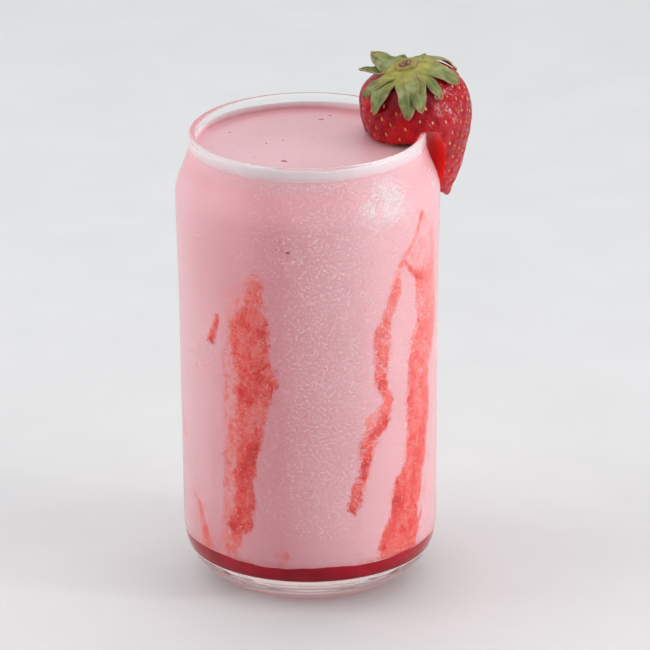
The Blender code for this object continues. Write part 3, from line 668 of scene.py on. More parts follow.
# Clots: azimuth, height mm, reach mm, how much stronger.
CLOTS = [(-21.7, 87.4, 1.4, 0.30), (-24.0, 86.2, 1.8, 0.22), (-22.4, 72.6, 1.0, 0.50),
         (-18.6, 71.6, 1.7, 0.24), (-33.0, 67.2, 2.0, 0.26), (-29.0, 65.6, 2.6, 0.20),
         (-24.5, 52.1, 1.4, 0.34), (-27.0, 50.0, 2.0, 0.22), (-36.4, 42.5, 0.9, 0.60),
         (-30.0, 44.0, 2.4, 0.16), (-27.0, 39.0, 1.5, 0.20), (-38.8, 25.2, 1.3, 0.40),
         (-33.0, 26.2, 2.2, 0.22), (-38.6, 56.0, 0.8, 0.45), (-36.8, 24.0, 1.6, 0.22),
         (37.0, 56.6, 1.3, 0.30), (26.6, 45.1, 1.0, 0.35), (25.8, 42.1, 1.1, 0.35),
         (20.8, 32.2, 1.0, 0.40), (35.4, 69.4, 1.4, 0.35), (35.7, 84.9, 0.9, 0.30),
         (36.8, 87.6, 0.8, 0.26), (59.0, 84.6, 0.8, 0.45), (46.3, 30.5, 2.4, 0.26),
         (48.8, 21.8, 1.0, 0.50), (54.6, 49.2, 1.6, 0.18), (54.0, 63.4, 1.4, 0.24),
         (58.6, 98.2, 1.6, 0.22), (60.0, 117.0, 1.2, 0.26), (36.0, 18.5, 1.3, 0.30),
         (44.0, 36.8, 1.6, 0.24), (56.5, 74.0, 1.3, 0.20), (-50.6, 81.2, 0.9, 0.40)]
# Strings of thicker syrup: half width mm, how much stronger, then (azimuth, height mm) points.
STRINGS = [(0.50, 0.25, [(45.4, 104.2), (47.6, 105.4), (50.8, 102.7), (54.9, 100.3), (58.6, 98.2),
                         (63.6, 96.6)]),
           (0.45, 0.19, [(59, 116), (56.6, 111.4), (52.4, 109), (47.6, 105.8)]),
           (0.28, 0.21, [(66.0, 31.0), (65.4, 27.5), (63.4, 24.7), (60.1, 21.8)]),
           (0.50, 0.21, [(38.5, 58), (36, 55.8), (31, 54.7), (28.2, 53.6)]),
           (0.22, 0.28, [(24.6, 52.6), (27, 50.6), (30.6, 50.6), (32.6, 51.8)]),
           (0.22, 0.31, [(-28.4, 73.6), (-25, 74.4), (-21.4, 75.6), (-18.8, 77.4), (-17.6, 79.2)]),
           (0.24, 0.22, [(-40, 78.6), (-36, 79.4), (-31.8, 79.0)]),
           (0.22, 0.25, [(31.6, 83.4), (35, 84), (39.6, 83)]),
           (0.20, 0.21, [(31.2, 86), (34, 85.6), (36.4, 86.6)])]
STRING_REACH_MM = 2             # past this a string adds nothing
WALL_MM_PER_DEGREE = 0.62
GRID_MM = 0.36                  # between the points of a smear


def streak_row(rows, height_mm):
    """Left edge, dense edge, right edge and strength at any height, smooth between the rows."""
    if height_mm >= rows[0][0]:
        return rows[0][1:]
    if height_mm <= rows[-1][0]:
        return rows[-1][1:]
    index = next(i for i in range(len(rows) - 1) if rows[i + 1][0] <= height_mm)
    near = [rows[min(max(index + step, 0), len(rows) - 1)] for step in (-1, 0, 1, 2)]
    t = (near[1][0] - height_mm) / (near[1][0] - near[2][0])
    found = []
    for field in (1, 2, 3):
        a, b, c, d = (row[field] for row in near)
        found.append(0.5 * (2 * b + (c - a) * t + (2 * a - 5 * b + 4 * c - d) * t * t
                            + (3 * b - a - 3 * c + d) * t ** 3))
    return (*found, near[1][4] + (near[2][4] - near[1][4]) * t)


def mm_off_string(azimuth, height_mm, points):
    """Distance over the wall from a place to a string of points."""
    place = Vector((azimuth * WALL_MM_PER_DEGREE, height_mm))
    best = 99.0
    for start, end in zip(points, points[1:]):
        a = Vector((start[0] * WALL_MM_PER_DEGREE, start[1]))
        b = Vector((end[0] * WALL_MM_PER_DEGREE, end[1]))
        share = min(max((place - a).dot(b - a) / (b - a).length_squared, 0), 1)
        best = min(best, (place - a.lerp(b, share)).length)
    return best


def smear_at(azimuth, height_mm, row, ends):
    """How far inside its edge a place lies, in mm, and how strong the syrup is there."""
    left, dense, right, strength = row
    inside = min(azimuth - left, right - azimuth) * WALL_MM_PER_DEGREE
    inside = min(inside, ends)
    lean = smoothstep(dense - 2.5, dense + 2.0, azimuth) if dense > left + 0.3 else 1.0
    strong = strength * (0.42 + 0.58 * lean)
    for centre, level, reach, gain in CLOTS:
        off = math.hypot((azimuth - centre) * WALL_MM_PER_DEGREE, height_mm - level) / reach
        if off < 2:
            strong += gain * math.exp(-off * off * 1.3)
    for half_width, gain, points in STRINGS:
        if not points[0][1] + 6 > height_mm > min(point[1] for point in points) - 6:
            continue
        off = mm_off_string(azimuth, height_mm, points)
        if off < STRING_REACH_MM:
            strong += gain * math.exp(-(off / half_width) ** 2)
            inside = max(inside, half_width * 1.6 - off)
    return inside, strong


def thicken(piece, thickness, offset):
    """Gives a sheet its thickness: to its back for an offset of -1, to both sides for 0."""
    wall = piece.modifiers.new("Thickness", 'SOLIDIFY')
    wall.thickness = thickness
    wall.offset = offset
    bpy.ops.object.modifier_apply(modifier="Thickness")


def shape_smear(name, rows, order):
    """A fine grid laid on the inside wall over one streak, then given its thickness."""
    margin = SMALL_MARGIN if name in SMALL_STREAKS else MARGIN
    high = rows[0][0] / 1000 + margin
    low = max(rows[-1][0] / 1000 - margin, SYRUP_LEVEL + 0.0002)
    widest = max(row[3] - row[1] for row in rows) * WALL_MM_PER_DEGREE + 2000 * margin
    start_clean()
    bpy.ops.mesh.primitive_grid_add(x_subdivisions=max(int(widest / GRID_MM), 8),
                                    y_subdivisions=int((high - low) * 1000 / GRID_MM), size=2)
    piece = bpy.context.object
    depth, strength = point_values(piece, "syrup_depth", "syrup_strength")
    for index, vert in enumerate(piece.data.vertices):
        height = low + (high - low) * (vert.co.y + 1) / 2
        row = streak_row(rows, height * 1000)
        radius = inner_radius(height)
        spare = math.degrees(margin / radius)
        across = (vert.co.x + 1) / 2
        azimuth = row[0] - spare + (row[2] - row[0] + 2 * spare) * across
        ends = rows[0][0] - height * 1000
        if name not in RUNS_INTO_SYRUP:
            ends = min(ends, height * 1000 - rows[-1][0])
        inside, strong = smear_at(azimuth, height * 1000, row, ends + 0.6)
        depth[index].value = inside
        strength[index].value = strong
        border = min(across, 1 - across) * (row[2] - row[0] + 2 * spare) * WALL_MM_PER_DEGREE
        border = min(border, (high - height) * 1000)
        if name not in RUNS_INTO_SYRUP:
            border = min(border, (height - low) * 1000)
        ridge = 0.5 + 0.5 * noise.noise(Vector((azimuth * 0.4, height * 260, order * 3.1)))
        lift = MILK_REACH - 0.00002 + (0.00003 + 0.000002 * order) * smoothstep(0, 1.0, border)
        lift += 0.00009 * ridge * smoothstep(0.0, 2.2, inside)
        reach = radius + lift
        angle = math.radians(azimuth)
        vert.co = (GLASS_AXIS_X + reach * math.sin(angle), -reach * math.cos(angle), height)
    thicken(piece, SMEAR_THICKNESS, -1)
    face_outwards()
    add_seep(piece)
    return settle(name + "_smear")


def around_middle(tree, value):
    """A noise's swing either side of its middle."""
    return maths(tree, 'SUBTRACT', value, 0.5)


def smear_finish():
    """Syrup of every strength from a faint stain to a clot, over the shake's own pink."""
    finish, tree, shader = new_finish("streaked_syrup", (0.8, 0.2, 0.17), 0.6,
                                      Specular_IOR_Level=0.0)
    own = add(tree, "TexCoord").outputs["Object"]
    tall = add(tree, "Mapping", {"Vector": own, "Scale": (1.0, 1.0, 0.6)}).outputs["Vector"]
    inside = add(tree, "Attribute", attribute_name="syrup_depth").outputs["Fac"]
    strength = add(tree, "Attribute", attribute_name="syrup_strength").outputs["Fac"]
    broad = around_middle(tree, speckle(tree, 240, 3.0, tall, 0.55))
    middling = around_middle(tree, speckle(tree, 620, 3.0, tall, 0.6, 0.7))
    fine = around_middle(tree, speckle(tree, 1500, 3.0, own, 0.65, 1.2))
    curls = around_middle(tree, speckle(tree, 760, 3.0, own, 0.55, 3.0))
    edge, dense = inside, strength
    for noise_of, ragged, mottled in ((broad, 1.9, 0.85), (middling, 2.2, 0.9), (fine, 3.6, 1.7)):
        edge = maths(tree, 'MULTIPLY_ADD', noise_of, ragged, edge)
        dense = maths(tree, 'MULTIPLY_ADD', noise_of, mottled, dense)
    edge = maths(tree, 'MULTIPLY_ADD', curls, 1.6, edge)
    mask = fade(tree, edge, -0.7, 0.8)
    syrup_red = ramp(tree, dense, (0.06, (0.90, 0.45, 0.45)), (0.30, (0.91, 0.30, 0.285)),
                     (0.54, (0.91, 0.19, 0.166)), (0.80, (0.85, 0.088, 0.072)),
                     (1.0, (0.67, 0.044, 0.042)))
    pale = maths(tree, 'MULTIPLY', fade(tree, curls, -0.07, -0.20), 0.5)
    syrup_red = blend(tree, pale, syrup_red, (0.92, 0.46, 0.46))
    thread = fade(tree, maths(tree, 'ABSOLUTE', maths(tree, 'ADD', curls, -0.05)), 0.045, 0.010)
    thread = maths(tree, 'MULTIPLY', thread, fade(tree, strength, 0.15, 0.5))
    syrup_red = blend(tree, maths(tree, 'MULTIPLY', thread, 0.5), syrup_red, (0.60, 0.06, 0.06))
    grains = add(tree, "TexVoronoi", {"Vector": own, "Scale": 640.0, "Randomness": 1.0})
    chosen = add(tree, "SeparateColor", {"Color": grains.outputs["Color"]})
    grain = maths(tree, 'MULTIPLY', fade(tree, grains.outputs["Distance"], 0.26, 0.10),
                  maths(tree, 'GREATER_THAN', chosen.outputs[0], 0.72))
    grain = maths(tree, 'MULTIPLY', grain, fade(tree, strength, 0.56, 0.36))
    syrup_red = blend(tree, maths(tree, 'MULTIPLY', grain, 0.5), syrup_red, (0.55, 0.08, 0.08))
    shown = maths(tree, 'MULTIPLY', mask, fade(tree, dense, 0.02, 0.30))
    colour = blend(tree, shown, shake_pink(tree), syrup_red)
    tree.links.new(colour, shader.inputs["Base Color"])
    return finish


smear_look = smear_finish()
for order, (name, rows) in enumerate(STREAKS.items()):
    smear = shape_smear(name, rows, order)
    smear.data.materials.append(smear_look)
    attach(smear, "root")
    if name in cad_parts:
        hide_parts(name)


# ---- The strawberry ------------------------------------------------------------------------
# A fresh fruit, washed and slit from below, then pushed down over the rim: one half
# hangs outside the glass and the shorter half rests over the drink.

BERRY_TIP = Vector((0.0405 + GLASS_AXIS_X, 0.0144, GLASS_HEIGHT - 0.0251))
BERRY_UP = Vector((-0.282, -0.103, 0.953)).normalized()
BERRY_LENGTH = 0.0412
BERRY_AZIMUTH = math.radians(20)           # where it hooks over the rim
OUTER_HALF_WIDTH = 0.0146
INNER_HALF_WIDTH = 0.0172
WIDEST = 0.69                   # place along the berry, 0 tip to 1 top
LOBE_FOOT = 0.595               # where the inner half ends, along the berry
LOBE_ROUNDING = 0.075           # of its lower edge
SLIT_REACH = 0.0045             # of the outer half past the spine, before the cut
SLOT_CLEARANCE = 0.00035
SLOT_AZIMUTH = math.radians(22)
SLOT_AT_RIM = 0.0361            # slot's outer face, from the glass's axis
SLOT_LEAN = 0.14                # metres out for each metre down
SLOT_PINCH = 0.0031             # how much closer its top hugs the rim
SLOT_PINCH_DEPTH = 0.0035
SLOT_INNER_RADIUS = 0.0327
SLOT_TOP = GLASS_HEIGHT + 0.0006
SLOT_HALF_TURN = math.radians(54)
SLOT_FOOT = 0.100               # well below the berry's tip
SEED_COUNT = 205
SEEDS_FROM, SEEDS_TO = 0.035, 0.965        # along the berry
PIT_DEPTH = 0.00042
PIT_RADIUS = 0.00115
LUMP_HEIGHT = 0.00018
PUFF_HEIGHT = 0.00012           # of the skin between the pits
TIP_CROWDING = 0.92             # brings the ball's rings closer together at the tip
OUTER_HALF_STARTS = 0.0265      # towards the tip's side, from the axis of the table
PAINTED_GLINT_PLACE = (0.0357, 0.0008, 0.1430)       # where glints are painted on the skin, as if its juice caught the light

RADIAL = Vector((math.cos(BERRY_AZIMUTH), math.sin(BERRY_AZIMUTH), 0))
BERRY_OUT = (RADIAL - RADIAL.dot(BERRY_UP) * BERRY_UP).normalized()
BERRY_ASIDE = BERRY_UP.cross(BERRY_OUT)


def berry_point(angle, along):
    """Skin of the berry; angle 0 faces away from the glass, along is 0 at the tip."""
    inward = smoothstep(math.radians(55), math.radians(160), abs(angle))
    half_width = OUTER_HALF_WIDTH + (INNER_HALF_WIDTH - OUTER_HALF_WIDTH) * inward
    swell = math.sin(math.pi * along ** (math.log(0.5) / math.log(WIDEST)))
    sharpness = 0.44
    if along > WIDEST:
        sharpness = 0.30 - 0.15 * inward
    radius = half_width * max(swell, 0.0) ** sharpness
    radius *= 1 + 0.018 * math.sin(3 * angle + 1.1) + 0.012 * math.sin(5 * angle + 4 * along)
    out, aside = radius * math.cos(angle), radius * math.sin(angle)
    if out < -SLIT_REACH:
        sunk = min(max((LOBE_FOOT + LOBE_ROUNDING - along) / LOBE_ROUNDING, 0.0), 1.0)
        kept = math.sqrt(1 - sunk ** 2)
        out = -SLIT_REACH + (out + SLIT_REACH) * kept
        aside *= 0.88 + 0.12 * kept
    return BERRY_TIP + BERRY_UP * BERRY_LENGTH * along + BERRY_OUT * out + BERRY_ASIDE * aside


def berry_normal(angle, along):
    """Square to the skin, from points a little to each side."""
    step = 0.01
    across = berry_point(angle + step, along) - berry_point(angle - step, along)
    low, high = max(along - step, 0.001), min(along + step, 0.999)
    lengthways = berry_point(angle, high) - berry_point(angle, low)
    return across.cross(lengthways).normalized()


def slot_face_distance(height):
    """Outer face of the slot, from the glass's axis; it leans out below the rim."""
    drop = max(GLASS_HEIGHT - height, 0.0)
    return SLOT_AT_RIM + SLOT_LEAN * drop - SLOT_PINCH * math.exp(-drop / SLOT_PINCH_DEPTH)


def clear_of_slot(point, room):
    """True where a seed of that half size stays clear of every cut face."""
    x, y = point.x - GLASS_AXIS_X, point.y
    from_axis = math.hypot(x, y)
    along_slot = x * math.cos(SLOT_AZIMUTH) + y * math.sin(SLOT_AZIMUTH)
    if point.z > SLOT_TOP + room:
        return True
    inside = from_axis < inner_radius(max(point.z, DRINK_LEVEL)) - SLOT_CLEARANCE - room
    above_drink = point.z > DRINK_LEVEL + MENISCUS_RISE + room
    outside = along_slot > slot_face_distance(point.z) + room
    return outside or (inside and above_drink)


def seed_places():
    """Evenly spread (angle, along) pairs on a spiral, each nudged a little."""
    draw = random.Random(11)
    golden = math.pi * (3 - math.sqrt(5))
    rings = [step / 400 for step in range(401)]
    area = [0.0]
    for low, high in zip(rings, rings[1:]):
        swell = math.sin(math.pi * ((low + high) / 2) ** (math.log(0.5) / math.log(WIDEST)))
        area.append(area[-1] + max(swell, 0) ** 0.5 * (high - low))
    places = []
    for index in range(SEED_COUNT):
        wanted = area[-1] * (index + 0.5) / SEED_COUNT
        ring = next(step for step, total in enumerate(area) if total >= wanted)
        angle = (index * golden + draw.uniform(-0.05, 0.05)) % (2 * math.pi) - math.pi
        places.append((angle, rings[ring] + draw.uniform(-0.006, 0.006)))
    return places


SEEDS = [(berry_point(angle, along), berry_normal(angle, along))
         for angle, along in seed_places() if SEEDS_FROM < along < SEEDS_TO]


def shape_berry():
    """A fine ball drawn out to the berry's form, with a pit for every seed."""
    start_clean()
    bpy.ops.mesh.primitive_uv_sphere_add(segments=200, ring_count=170, radius=1)
    berry = bpy.context.object
    pits = kdtree.KDTree(len(SEEDS))
    for index, (point, normal) in enumerate(SEEDS):
        pits.insert(point, index)
    pits.balance()
    for vert in berry.data.vertices:
        from_tip = math.acos(max(min(-vert.co.z, 1), -1)) / math.pi
        along = from_tip ** TIP_CROWDING
        angle = math.atan2(vert.co.y, vert.co.x)
        skin = berry_point(angle, along)
        normal = berry_normal(angle, min(max(along, 0.012), 0.988))
        near = pits.find(skin)[2]
        pit = PIT_DEPTH * math.exp(-(near / PIT_RADIUS) ** 2)
        puff = PUFF_HEIGHT * smoothstep(PIT_RADIUS, PIT_RADIUS * 1.9, near)
        lumps = LUMP_HEIGHT * noise.noise(skin * 190)
        vert.co = skin + normal * (puff + lumps - pit)
    face_outwards(0.00001)
    return settle("strawberry_fruit")


def slot_over_rim():
    """The glass and drink with a little room round them, as a cutter."""
    edge = RIM_RADIUS - WALL - SLOT_CLEARANCE
    profile = [(radius, DRINK_LEVEL + SLOT_CLEARANCE) for radius in (0, edge - MENISCUS_WIDTH)]
    profile += [(edge - MENISCUS_WIDTH * (1 - step / 6),
                 DRINK_LEVEL + SLOT_CLEARANCE + MENISCUS_RISE * (step / 6) ** MENISCUS_CURVE)
                for step in range(1, 7)]
    centre_height, centre_radius = GLASS_HEIGHT - LIP_RADIUS, RIM_RADIUS - LIP_RADIUS
    room = LIP_RADIUS + SLOT_CLEARANCE
    profile += [(centre_radius + room * math.cos(math.pi * (1 - step / 10)),
                 centre_height + room * math.sin(math.pi * (1 - step / 10))) for step in range(11)]
    profile += [(outer_radius(z) + SLOT_CLEARANCE, z)
                for z in steps_between(NECK_FOOT, SHOULDER_TOP, 12)]
    profile += [(outer_radius(SLOT_FOOT) + SLOT_CLEARANCE, SLOT_FOOT), (0, SLOT_FOOT)]
    return turned("slot_over_rim", profile)


def knife_cut():
    """What the knife took away outside the glass; its top hugs the rim."""
    start_clean()
    bpy.ops.mesh.primitive_cube_add(size=1, location=(0, 0, 0))
    wedge = bpy.context.object
    bpy.ops.object.mode_set(mode='EDIT')
    bpy.ops.mesh.select_all(action='SELECT')
    bpy.ops.mesh.subdivide(number_cuts=15)
    bpy.ops.object.mode_set(mode='OBJECT')
    for vert in wedge.data.vertices:
        height = SLOT_TOP - (SLOT_TOP - SLOT_FOOT) * max(0.5 - vert.co.z, 0.0) ** 2.2
        turn = 2 * SLOT_HALF_TURN * vert.co.y
        near = SLOT_INNER_RADIUS * math.cos(turn)
        out = near + (slot_face_distance(height) - near) * (vert.co.x + 0.5)
        aside = SLOT_INNER_RADIUS * math.sin(turn)
        vert.co = (GLASS_AXIS_X + out * math.cos(SLOT_AZIMUTH) - aside * math.sin(SLOT_AZIMUTH),
                   out * math.sin(SLOT_AZIMUTH) + aside * math.cos(SLOT_AZIMUTH), height)
    return wedge


def skin_finish():
    """Ripe skin: deep crimson with brighter patches, grained like wet fruit, its outer half painted
    lighter and glints painted on round one place.
    """
    finish, tree, shader = new_finish("berry_skin", (0.40, 0.004, 0.012), 0.20, IOR=1.42,
                                      Subsurface_Weight=0.30, Subsurface_Scale=0.0020,
                                      Subsurface_Radius=(1.0, 0.12, 0.10),
                                      Specular_IOR_Level=0.22)
    own = add(tree, "TexCoord").outputs["Object"]
    blush = speckle(tree, 75, 3.0, own)
    red = ramp(tree, blush, (0.36, (0.17, 0.002, 0.011)), (0.5, (0.36, 0.003, 0.011)),
               (0.64, (0.58, 0.008, 0.012)))
    # The outer half is painted lighter red and given more bright patches: partly the fruit's own colour,
    # partly painted sheen where the lamps light it.
    outward = add(tree, "VectorMath", {0: own, 1: tuple(RADIAL)}, operation='DOT_PRODUCT')
    outer_half = fade(tree, outward.outputs["Value"], OUTER_HALF_STARTS, OUTER_HALF_STARTS + 0.007)
    red = blend(tree, maths(tree, 'MULTIPLY', outer_half, 0.55), red, (0.50, 0.016, 0.024))
    veins = speckle(tree, 800, 4.0, own, 0.6, 0.8)
    red = blend(tree, maths(tree, 'MULTIPLY', fade(tree, veins, 0.50, 0.68), 0.5), red,
                (0.15, 0.002, 0.012))
    glow = fade(tree, speckle(tree, 620, 3.0, own, 0.5, 0.6), 0.56, 0.76)
    glow = maths(tree, 'MULTIPLY', glow, maths(tree, 'MULTIPLY_ADD', outer_half, 0.3, 0.2))
    red = blend(tree, glow, red, (0.86, 0.17, 0.19))
    # Painted highlight: pale glint strokes painted into the colour round one place of the outer half.
    glint = around_middle(tree, speckle(tree, 1050, 2.0, own, 0.5, 1.6))
    glint = fade(tree, maths(tree, 'ABSOLUTE', glint), 0.035, 0.012)
    glint = maths(tree, 'MULTIPLY', glint, fade(tree, speckle(tree, 420, 2.0, own), 0.50, 0.58))
    off = add(tree, "VectorMath", {0: own, 1: PAINTED_GLINT_PLACE}, operation='DISTANCE')
    wet = fade(tree, off.outputs["Value"], 0.0064, 0.0030)
    red = blend(tree, maths(tree, 'MULTIPLY', glint, wet), red, (1.0, 0.80, 0.84))
    tree.links.new(red, shader.inputs["Base Color"])
    grain = maths(tree, 'MULTIPLY_ADD', speckle(tree, 2400, 2.0, own), 0.5,
                  speckle(tree, 900, 3.0, own, 0.6))
    roughen(tree, shader, grain, 0.55, 0.0006)
    return finish


def flesh_finish():
    """The cut faces: bright, juicy red, with a few paler veins and a faint painted red glow for the light
    that passes through the flesh.
    """
    finish, tree, shader = new_finish("cut_flesh", (0.80, 0.010, 0.010), 0.3, IOR=1.40,
                                      # Painted light: a faint red emission, a glow for light through the
                                      # flesh, not a lamp.
                                      Emission_Color=(1.0, 0.02, 0.02, 1),
                                      Emission_Strength=0.10,
                                      Subsurface_Weight=1.0, Subsurface_Scale=0.0100,
                                      Subsurface_Radius=(1.0, 0.08, 0.06),
                                      Specular_IOR_Level=0.2)
    own = add(tree, "TexCoord").outputs["Object"]
    flesh = ramp(tree, speckle(tree, 260, 3.0, own, 0.5, 0.6), (0.35, (0.74, 0.006, 0.006)),
                 (0.55, (0.82, 0.012, 0.010)), (0.75, (0.90, 0.05, 0.04)))
    tree.links.new(flesh, shader.inputs["Base Color"])
    return finish


berry = shape_berry()
berry.data.materials.append(skin_finish())
flesh = flesh_finish()
for cutter in (slot_over_rim(), knife_cut()):
    cutter.data.materials.append(flesh)
    start_clean()
    bpy.context.view_layer.objects.active = berry
    berry.select_set(True)
    cut = berry.modifiers.new("Cut", 'BOOLEAN')
    cut.operation = 'DIFFERENCE'
    cut.object = cutter
    cut.material_mode = 'TRANSFER'
    bpy.ops.object.modifier_apply(modifier="Cut")
    bpy.data.objects.remove(cutter, do_unlink=True)
bpy.ops.object.shade_smooth_by_angle(angle=math.radians(50))
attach(berry, "root")
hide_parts("strawberry")


# ---- The seeds -----------------------------------------------------------------------------
# Small yellow pips, flat teardrops with the point towards the leaves, each sunk half
# way in its own pit of the skin.

SEED_SIZE = Vector((0.00072, 0.00122, 0.00050))
SEED_POINT = 0.55               # how much narrower than its middle its upper end is
SEED_SUNK = PIT_DEPTH - 0.00006
SEED_ROOM = 0.0009              # kept from the cut faces


def scatter(name, pattern, places, finish):
    """One mesh holding a copy of the pattern at every place, each place a 4x4 matrix."""
    corners = [vert.co.copy() for vert in pattern.data.vertices]
    faces = [tuple(face.vertices) for face in pattern.data.polygons]
    points, polygons = [], []
    for place in places:
        start = len(points)
        points += [place @ corner for corner in corners]
        polygons += [tuple(index + start for index in face) for face in faces]
    mesh = bpy.data.meshes.new(name)
    mesh.from_pydata(points, [], polygons)
    mesh.shade_smooth()
    mesh.materials.append(finish)
    piece = bpy.data.objects.new(name, mesh)
    bpy.context.scene.collection.objects.link(piece)
    bpy.data.objects.remove(pattern, do_unlink=True)
    return piece


def teardrop_pattern():
    start_clean()
    bpy.ops.mesh.primitive_uv_sphere_add(segments=8, ring_count=5, radius=0.5)
    pattern = bpy.context.object
    bpy.ops.object.mode_set(mode='EDIT')
    bpy.ops.mesh.select_all(action='SELECT')
    bpy.ops.transform.rotate(value=math.pi / 2, orient_axis='X', center_override=(0, 0, 0))
    bpy.ops.object.mode_set(mode='OBJECT')
    for vert in pattern.data.vertices:
        vert.co.x *= 1 - SEED_POINT * vert.co.y
    return pattern


def seed_matrices():
    draw = random.Random(5)
    places = []
    for point, normal in SEEDS:
        if not clear_of_slot(point, SEED_ROOM):
            continue
        lengthways = (BERRY_UP - BERRY_UP.dot(normal) * normal).normalized()
        lengthways.rotate(Matrix.Rotation(draw.gauss(0, 0.16), 3, normal))
        sideways = lengthways.cross(normal)
        size = draw.uniform(0.82, 1.12)
        centre = point - normal * SEED_SUNK
        turn = Matrix((sideways * SEED_SIZE.x * size, lengthways * SEED_SIZE.y * size,
                       normal * SEED_SIZE.z * size)).transposed()
        places.append(Matrix.Translation(centre) @ turn.to_4x4())
    return places


def seed_finish():
    finish, tree, shader = new_finish("pips", (0.74, 0.33, 0.12), 0.35, Specular_IOR_Level=0.4)
    tint = ramp(tree, speckle(tree, 400, 1.0), (0.35, (0.66, 0.13, 0.05)),
                (0.5, (0.80, 0.27, 0.11)), (0.66, (0.90, 0.46, 0.24)))
    tree.links.new(tint, shader.inputs["Base Color"])
    return finish


seeds = scatter("strawberry_seeds", teardrop_pattern(), seed_matrices(), seed_finish())
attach(seeds, "root")
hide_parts("strawberry")


# ---- The leafy crown -----------------------------------------------------------------------
# Eleven sepals lie on the berry's shoulders round a small green dome.  The stalk was
# pulled off and left a brown, ringed scar in the middle.

CALYX_RADIUS = 0.0068
CALYX_THICKNESS = 0.0015
SEPAL_THICKNESS = 0.00045
SCAR_RADIUS = 0.0031
SKIN_ROOM = 0.0006
# Each sepal: degrees round the berry, sideways bend, then length, half width and curl in mm.
SEPALS = [(-44, -2, 15.5, 3.7, 0.8), (-79, 0, 16.3, 1.9, 0.5), (-105, 3, 18.4, 2.7, 0.5),
          (-119, 6, 19.6, 3.2, 0.3), (-153, 3, 18.2, 3.0, 0.4), (-172, 4, 14.8, 2.8, 0.5),
          (151, -4, 12.0, 1.9, 3.4), (120, 0, 10.6, 4.3, 4.8), (84, 0, 10.5, 2.5, 1.2),
          (48, 4, 12.6, 2.9, -0.3), (12, 0, 17.5, 3.1, 0.0)]
SEPAL_ROOT = 0.0028             # where a sepal starts, from the crown's middle
STEM_HALF_WIDTH = 0.0019        # of its root under the dome
SCAR_THICKNESS = 0.0004
# The scar's rings from its edge to its middle: share of its width, rise in metres.
SCAR_RINGS = ((0.90, 0.00055), (0.82, 0.00020), (0.72, -0.00008), (0.6, -0.00022),
              (0.42, -0.00005), (0.2, -0.00003))
HANGING_FROM, HANGING_TO = 0.1450, 0.1385   # heights between which hanging tips get darker
MERIDIAN_TURN = math.radians(2)
MERIDIANS = {}


def meridian(number):
    """(distance from the top, along) pairs down the skin at one of the angles kept."""
    if number not in MERIDIANS:
        pairs, travelled = [], 0.0
        before = berry_point(number * MERIDIAN_TURN, 1)
        for step in range(61):
            along = 1 - 0.75 * (step / 60) ** 2
            here = berry_point(number * MERIDIAN_TURN, along)
            travelled += (here - before).length
            pairs.append((travelled, along))
            before = here
        MERIDIANS[number] = pairs
    return MERIDIANS[number]


def along_at(number, distance):
    """How far along the berry a place that far down its skin from the top lies."""
    pairs = meridian(number)
    for (near, along_near), (far, along_far) in zip(pairs, pairs[1:]):
        if distance <= far:
            return along_near + (along_far - along_near) * (distance - near) / max(far - near, 1e-9)
    return pairs[-1][1]


def over_skin(angle, distance, height):
    """A point that far down from the berry's top and that high off its skin."""
    number = math.floor(angle / MERIDIAN_TURN)
    share = angle / MERIDIAN_TURN - number
    along = along_at(number, distance) * (1 - share) + along_at(number + 1, distance) * share
    normal = berry_normal(angle, min(along, 0.99))
    steady = smoothstep(0.003, 0.009, distance)
    normal = (normal * steady + BERRY_UP * (1 - steady)).normalized()
    return berry_point(angle, along) + normal * height


def shape_dome():
    start_clean()
    bpy.ops.mesh.primitive_uv_sphere_add(segments=72, ring_count=24, radius=1)
    dome = bpy.context.object
    for vert in dome.data.vertices:
        share = min(math.hypot(vert.co.x, vert.co.y), 1)
        angle = math.atan2(vert.co.y, vert.co.x)
        thickness = CALYX_THICKNESS - (CALYX_THICKNESS - SEPAL_THICKNESS) * share ** 2
        ribs = 0.00009 * math.sin(18 * angle) * smoothstep(0.45, 0.75, share)
        lift = SKIN_ROOM * 0.6 + (thickness + ribs if vert.co.z > 0.01 else 0)
        if abs(vert.co.z) <= 0.01:
            lift = SKIN_ROOM * 0.6 + thickness / 2
        vert.co = over_skin(angle, CALYX_RADIUS * share, lift)
    return settle("calyx_dome")


def shape_sepal(number, turn, bend, length, half_width, curl):
    start_clean()
    bpy.ops.mesh.primitive_grid_add(x_subdivisions=10, y_subdivisions=26, size=2)
    leaf = bpy.context.object
    side, down_leaf = point_values(leaf, "leaf_side", "leaf_down")
    for index, vert in enumerate(leaf.data.vertices):
        down, across = (1 - vert.co.y) / 2, vert.co.x
        side[index].value = across
        down_leaf[index].value = down
        spread = max(half_width * math.sin(math.pi * down ** 0.80) ** 0.52,
                     STEM_HALF_WIDTH * (1 - down) ** 0.8)
        notch = 1 + 0.05 * math.sin(23 * down + number) * smoothstep(0.1, 0.3, down)
        distance = SEPAL_ROOT + (length - SEPAL_ROOT) * down
        girth = max((over_skin(turn, distance, 0) - over_skin(turn, 0, 0)).length, 0.004)
        angle = turn + bend * math.sin(math.pi * down) + across * spread * notch / girth
        wave = 0.00030 * math.sin(7 * down + 2.1 * number) * across
        wave += 0.00016 * math.sin(15 * down + 1.3 * number + 2 * across)
        crease = 0.00022 * (1 - math.exp(-(across / 0.14) ** 2))
        lift = SKIN_ROOM + SEPAL_THICKNESS / 2 + 0.00018 + curl * down ** 3 + wave
        lift += 0.0005 * across ** 2 * smoothstep(0.05, 0.5, down) - crease
        vert.co = over_skin(angle, distance, lift)
    thicken(leaf, SEPAL_THICKNESS, 0)
    face_outwards(MERGE_WITHIN)
    return settle("sepal_%02d" % number)


